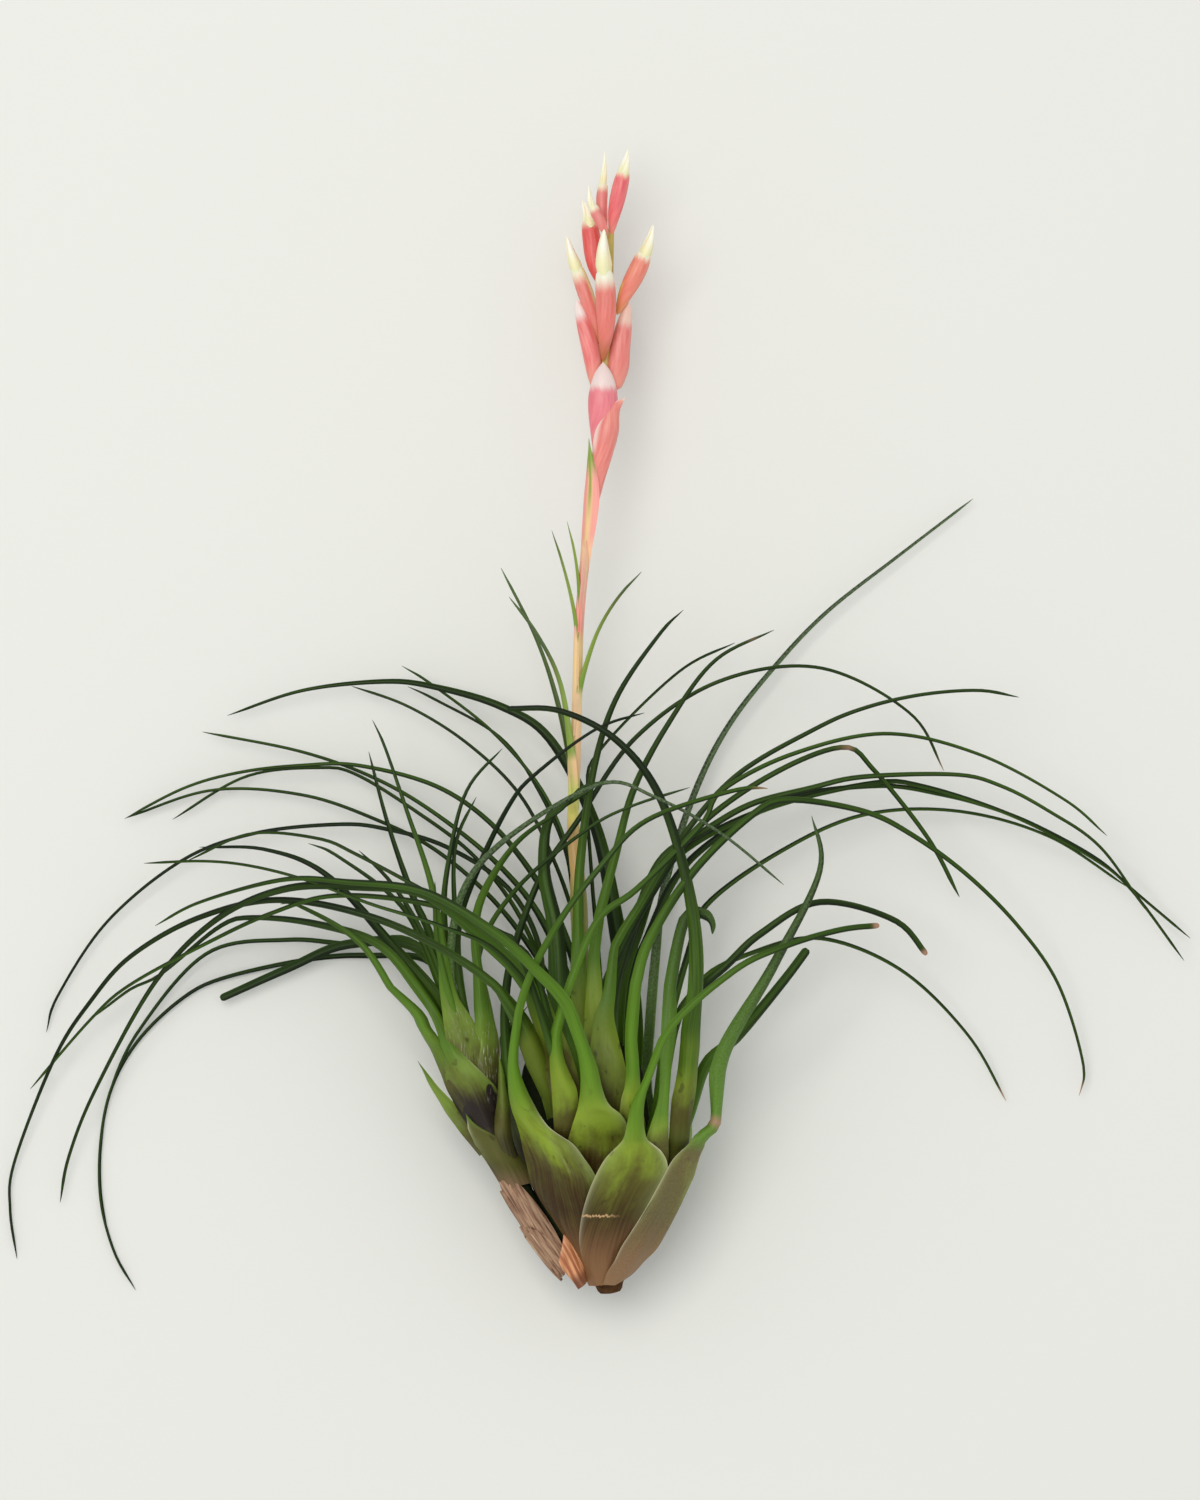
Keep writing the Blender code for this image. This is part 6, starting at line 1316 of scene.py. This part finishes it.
petal, tree = new_material("cream_petal_tissue", 0.5, Subsurface_Weight=0.2, Subsurface_Scale=1.5 * MM)
fibres = streaks(tree, 2.0, 0.2)          # 0.5 mm wide, 5 mm long, coarser than real ones so that they show
# the grooves between the lobes are painted a little darker and yellower: painted shade in the creases
colour = paint(tree, "#EDE9B8", ("#F6F4E2", ("part", 0.45, 0.8)), ("#E9E2B4", ("lobe", -0.5, -1.0)),
               ("#FBF8EE", (fibres, 0.5, 0.8), 0.4))
link_finish(tree, colour, fibres, 0.25, 0.1)
bract_points = {name: points for name, *_, points in FLORAL_BRACTS}
for index, (name, bract, length, width, lean) in enumerate(PETALS):
    rings, uv, part, lobe = petal_roll(width, petal_points(bract_points[bract], length, lean), 2.0 + index)
    piece = Skin()
    piece.add(rings, uv, part=part, lobe=lobe)
    piece.finish(name + "_roll", petal, "petal", name)

# %% [markdown]
# ## Dry sheaths
# The offset's stalk is wrapped in old sheaths that have dried to papery strips of straight fibres, matt and
# pale tan with darker slits, frayed at their ends. Paper could be a cloth simulation. A strip cut from a
# tube round the stalk, with ridges and frayed ends worked out, stays where it is put and is the same each
# run. Each old sheath has split into three flaps.

# %% Papery strips
# name, start and end along the stalk, middle angle, half arc, radius
DRY_SHEATHS = (("dry_sheath_1", 3.5, 25.5, 38, 68, 3.4), ("dry_sheath_2", 4.5, 21, 195, 55, 3),
               ("dry_sheath_3", 3, 15, 60, 55, 3.7))
# (shift along, shift round in half arcs, share of the arc)
SPLITS = ((0, -0.35, 0.7), (1.2, 0.15, 0.6), (-0.8, 0.55, 0.55))
STRIP_THICKNESS = 0.3


def strip(start, end, middle_angle, half_arc, radius, rng, columns=24, rows=44):
    """A strip of a tube round the stalk: point (t, u) = stalk at t + radius turned by u * arc(t). Its
    ends are frayed: each column of fibres stops a little earlier or later."""
    line = smooth_line(OFFSET_CORE)
    u = np.linspace(-1, 1, columns)[None, :]
    fray = rng.uniform(-1, 1, (2, columns))
    t = np.linspace(0, 1, rows)[:, None]
    distance = start + t * (end - start) + (fray[0] * 0.3 * (1 - t) ** 6 + fray[1] * 0.5 * t ** 6)
    spread = math.radians(half_arc) * (0.12 + 0.88 * np.sin(math.pi * (0.06 + 0.9 * t)) ** 0.8)
    angle = math.radians(middle_angle + 90) + u * spread
    ridge = 0.05 * np.sin(u * 34 + fray[0] * 2) + 0.14 * np.sin(u * 5 + t * 4)
    outer, inner = (radius + 0.5 * t + ridge + side * STRIP_THICKNESS / 2 for side in (1, -1))
    shells = [carry(line, distance, shell, shell, angle) for shell in (outer, inner)]
    flat = [doubled(values, distance.shape) for values in (u * spread * radius, distance)]
    return np.concatenate([shells[0], shells[1][:, ::-1]], axis=1), np.stack(flat, axis=-1)


papery, tree = new_material("dry_papery_sheath", 0.75)
fibres = streaks(tree, 1.7, 0.09, 5.0, 0.65)      # bundles 0.6 mm wide and 11 mm long
colour = paint(tree, "#6A4632", ("#AC8A6C", (fibres, 0.36, 0.58)), ("#D8C0A0", (fibres, 0.58, 0.74)))
link_finish(tree, colour, fibres, 0.7, 0.25)
for name, start, end, middle_angle, half_arc, radius in DRY_SHEATHS:
    piece = Skin()
    for layer, (shift, turn, part) in enumerate(SPLITS):
        rings, uv = strip(start + shift * 0.5, end + shift, middle_angle + turn * half_arc, half_arc * part,
                          radius + 0.16 * layer - 0.2, rng)
        piece.add(rings, uv + 30.0 * layer)
    piece.finish(name + "_fibres", papery, "dry_sheath", name)

# %% [markdown]
# ## Rust scale
# One scale at the foot has dried whole: it is rust-brown and smooth, with a slight gloss, fine fibres along
# it, and a burnt dark foot. It is a small spoon, so the leaf surface makes it without a shape of its own.

# %% Rust scale
RUST_SCALE = ("rust_scale", 2.4, 1.2, 7.4, 13,
              [(-5.2, -30, 20.2), (-6.5, -27.3, 22.2), (-8.3, -23.4, 23.2), (-10.6, -18.8, 23.6)])

rusty, tree = new_material("rust_brown_scale", 0.45)
fibres = streaks(tree, 1.5, 0.12, 4.0)            # bundles 0.7 mm wide and 8 mm long
colour = paint(tree, "#A05C34", ("#E6A674", (fibres, 0.35, 0.65)), ("#5A2A14", ("foot", 0.68, 0.95), 0.75))
link_finish(tree, colour, fibres, 0.5, 0.2)
scale_skin = Skin()
add_leaf(scale_skin, RUST_SCALE, OFFSET_AXIS, rng, ease=0)
scale_skin.finish("rust_scale_skin", rusty, "rust_scale", "rust_scale")
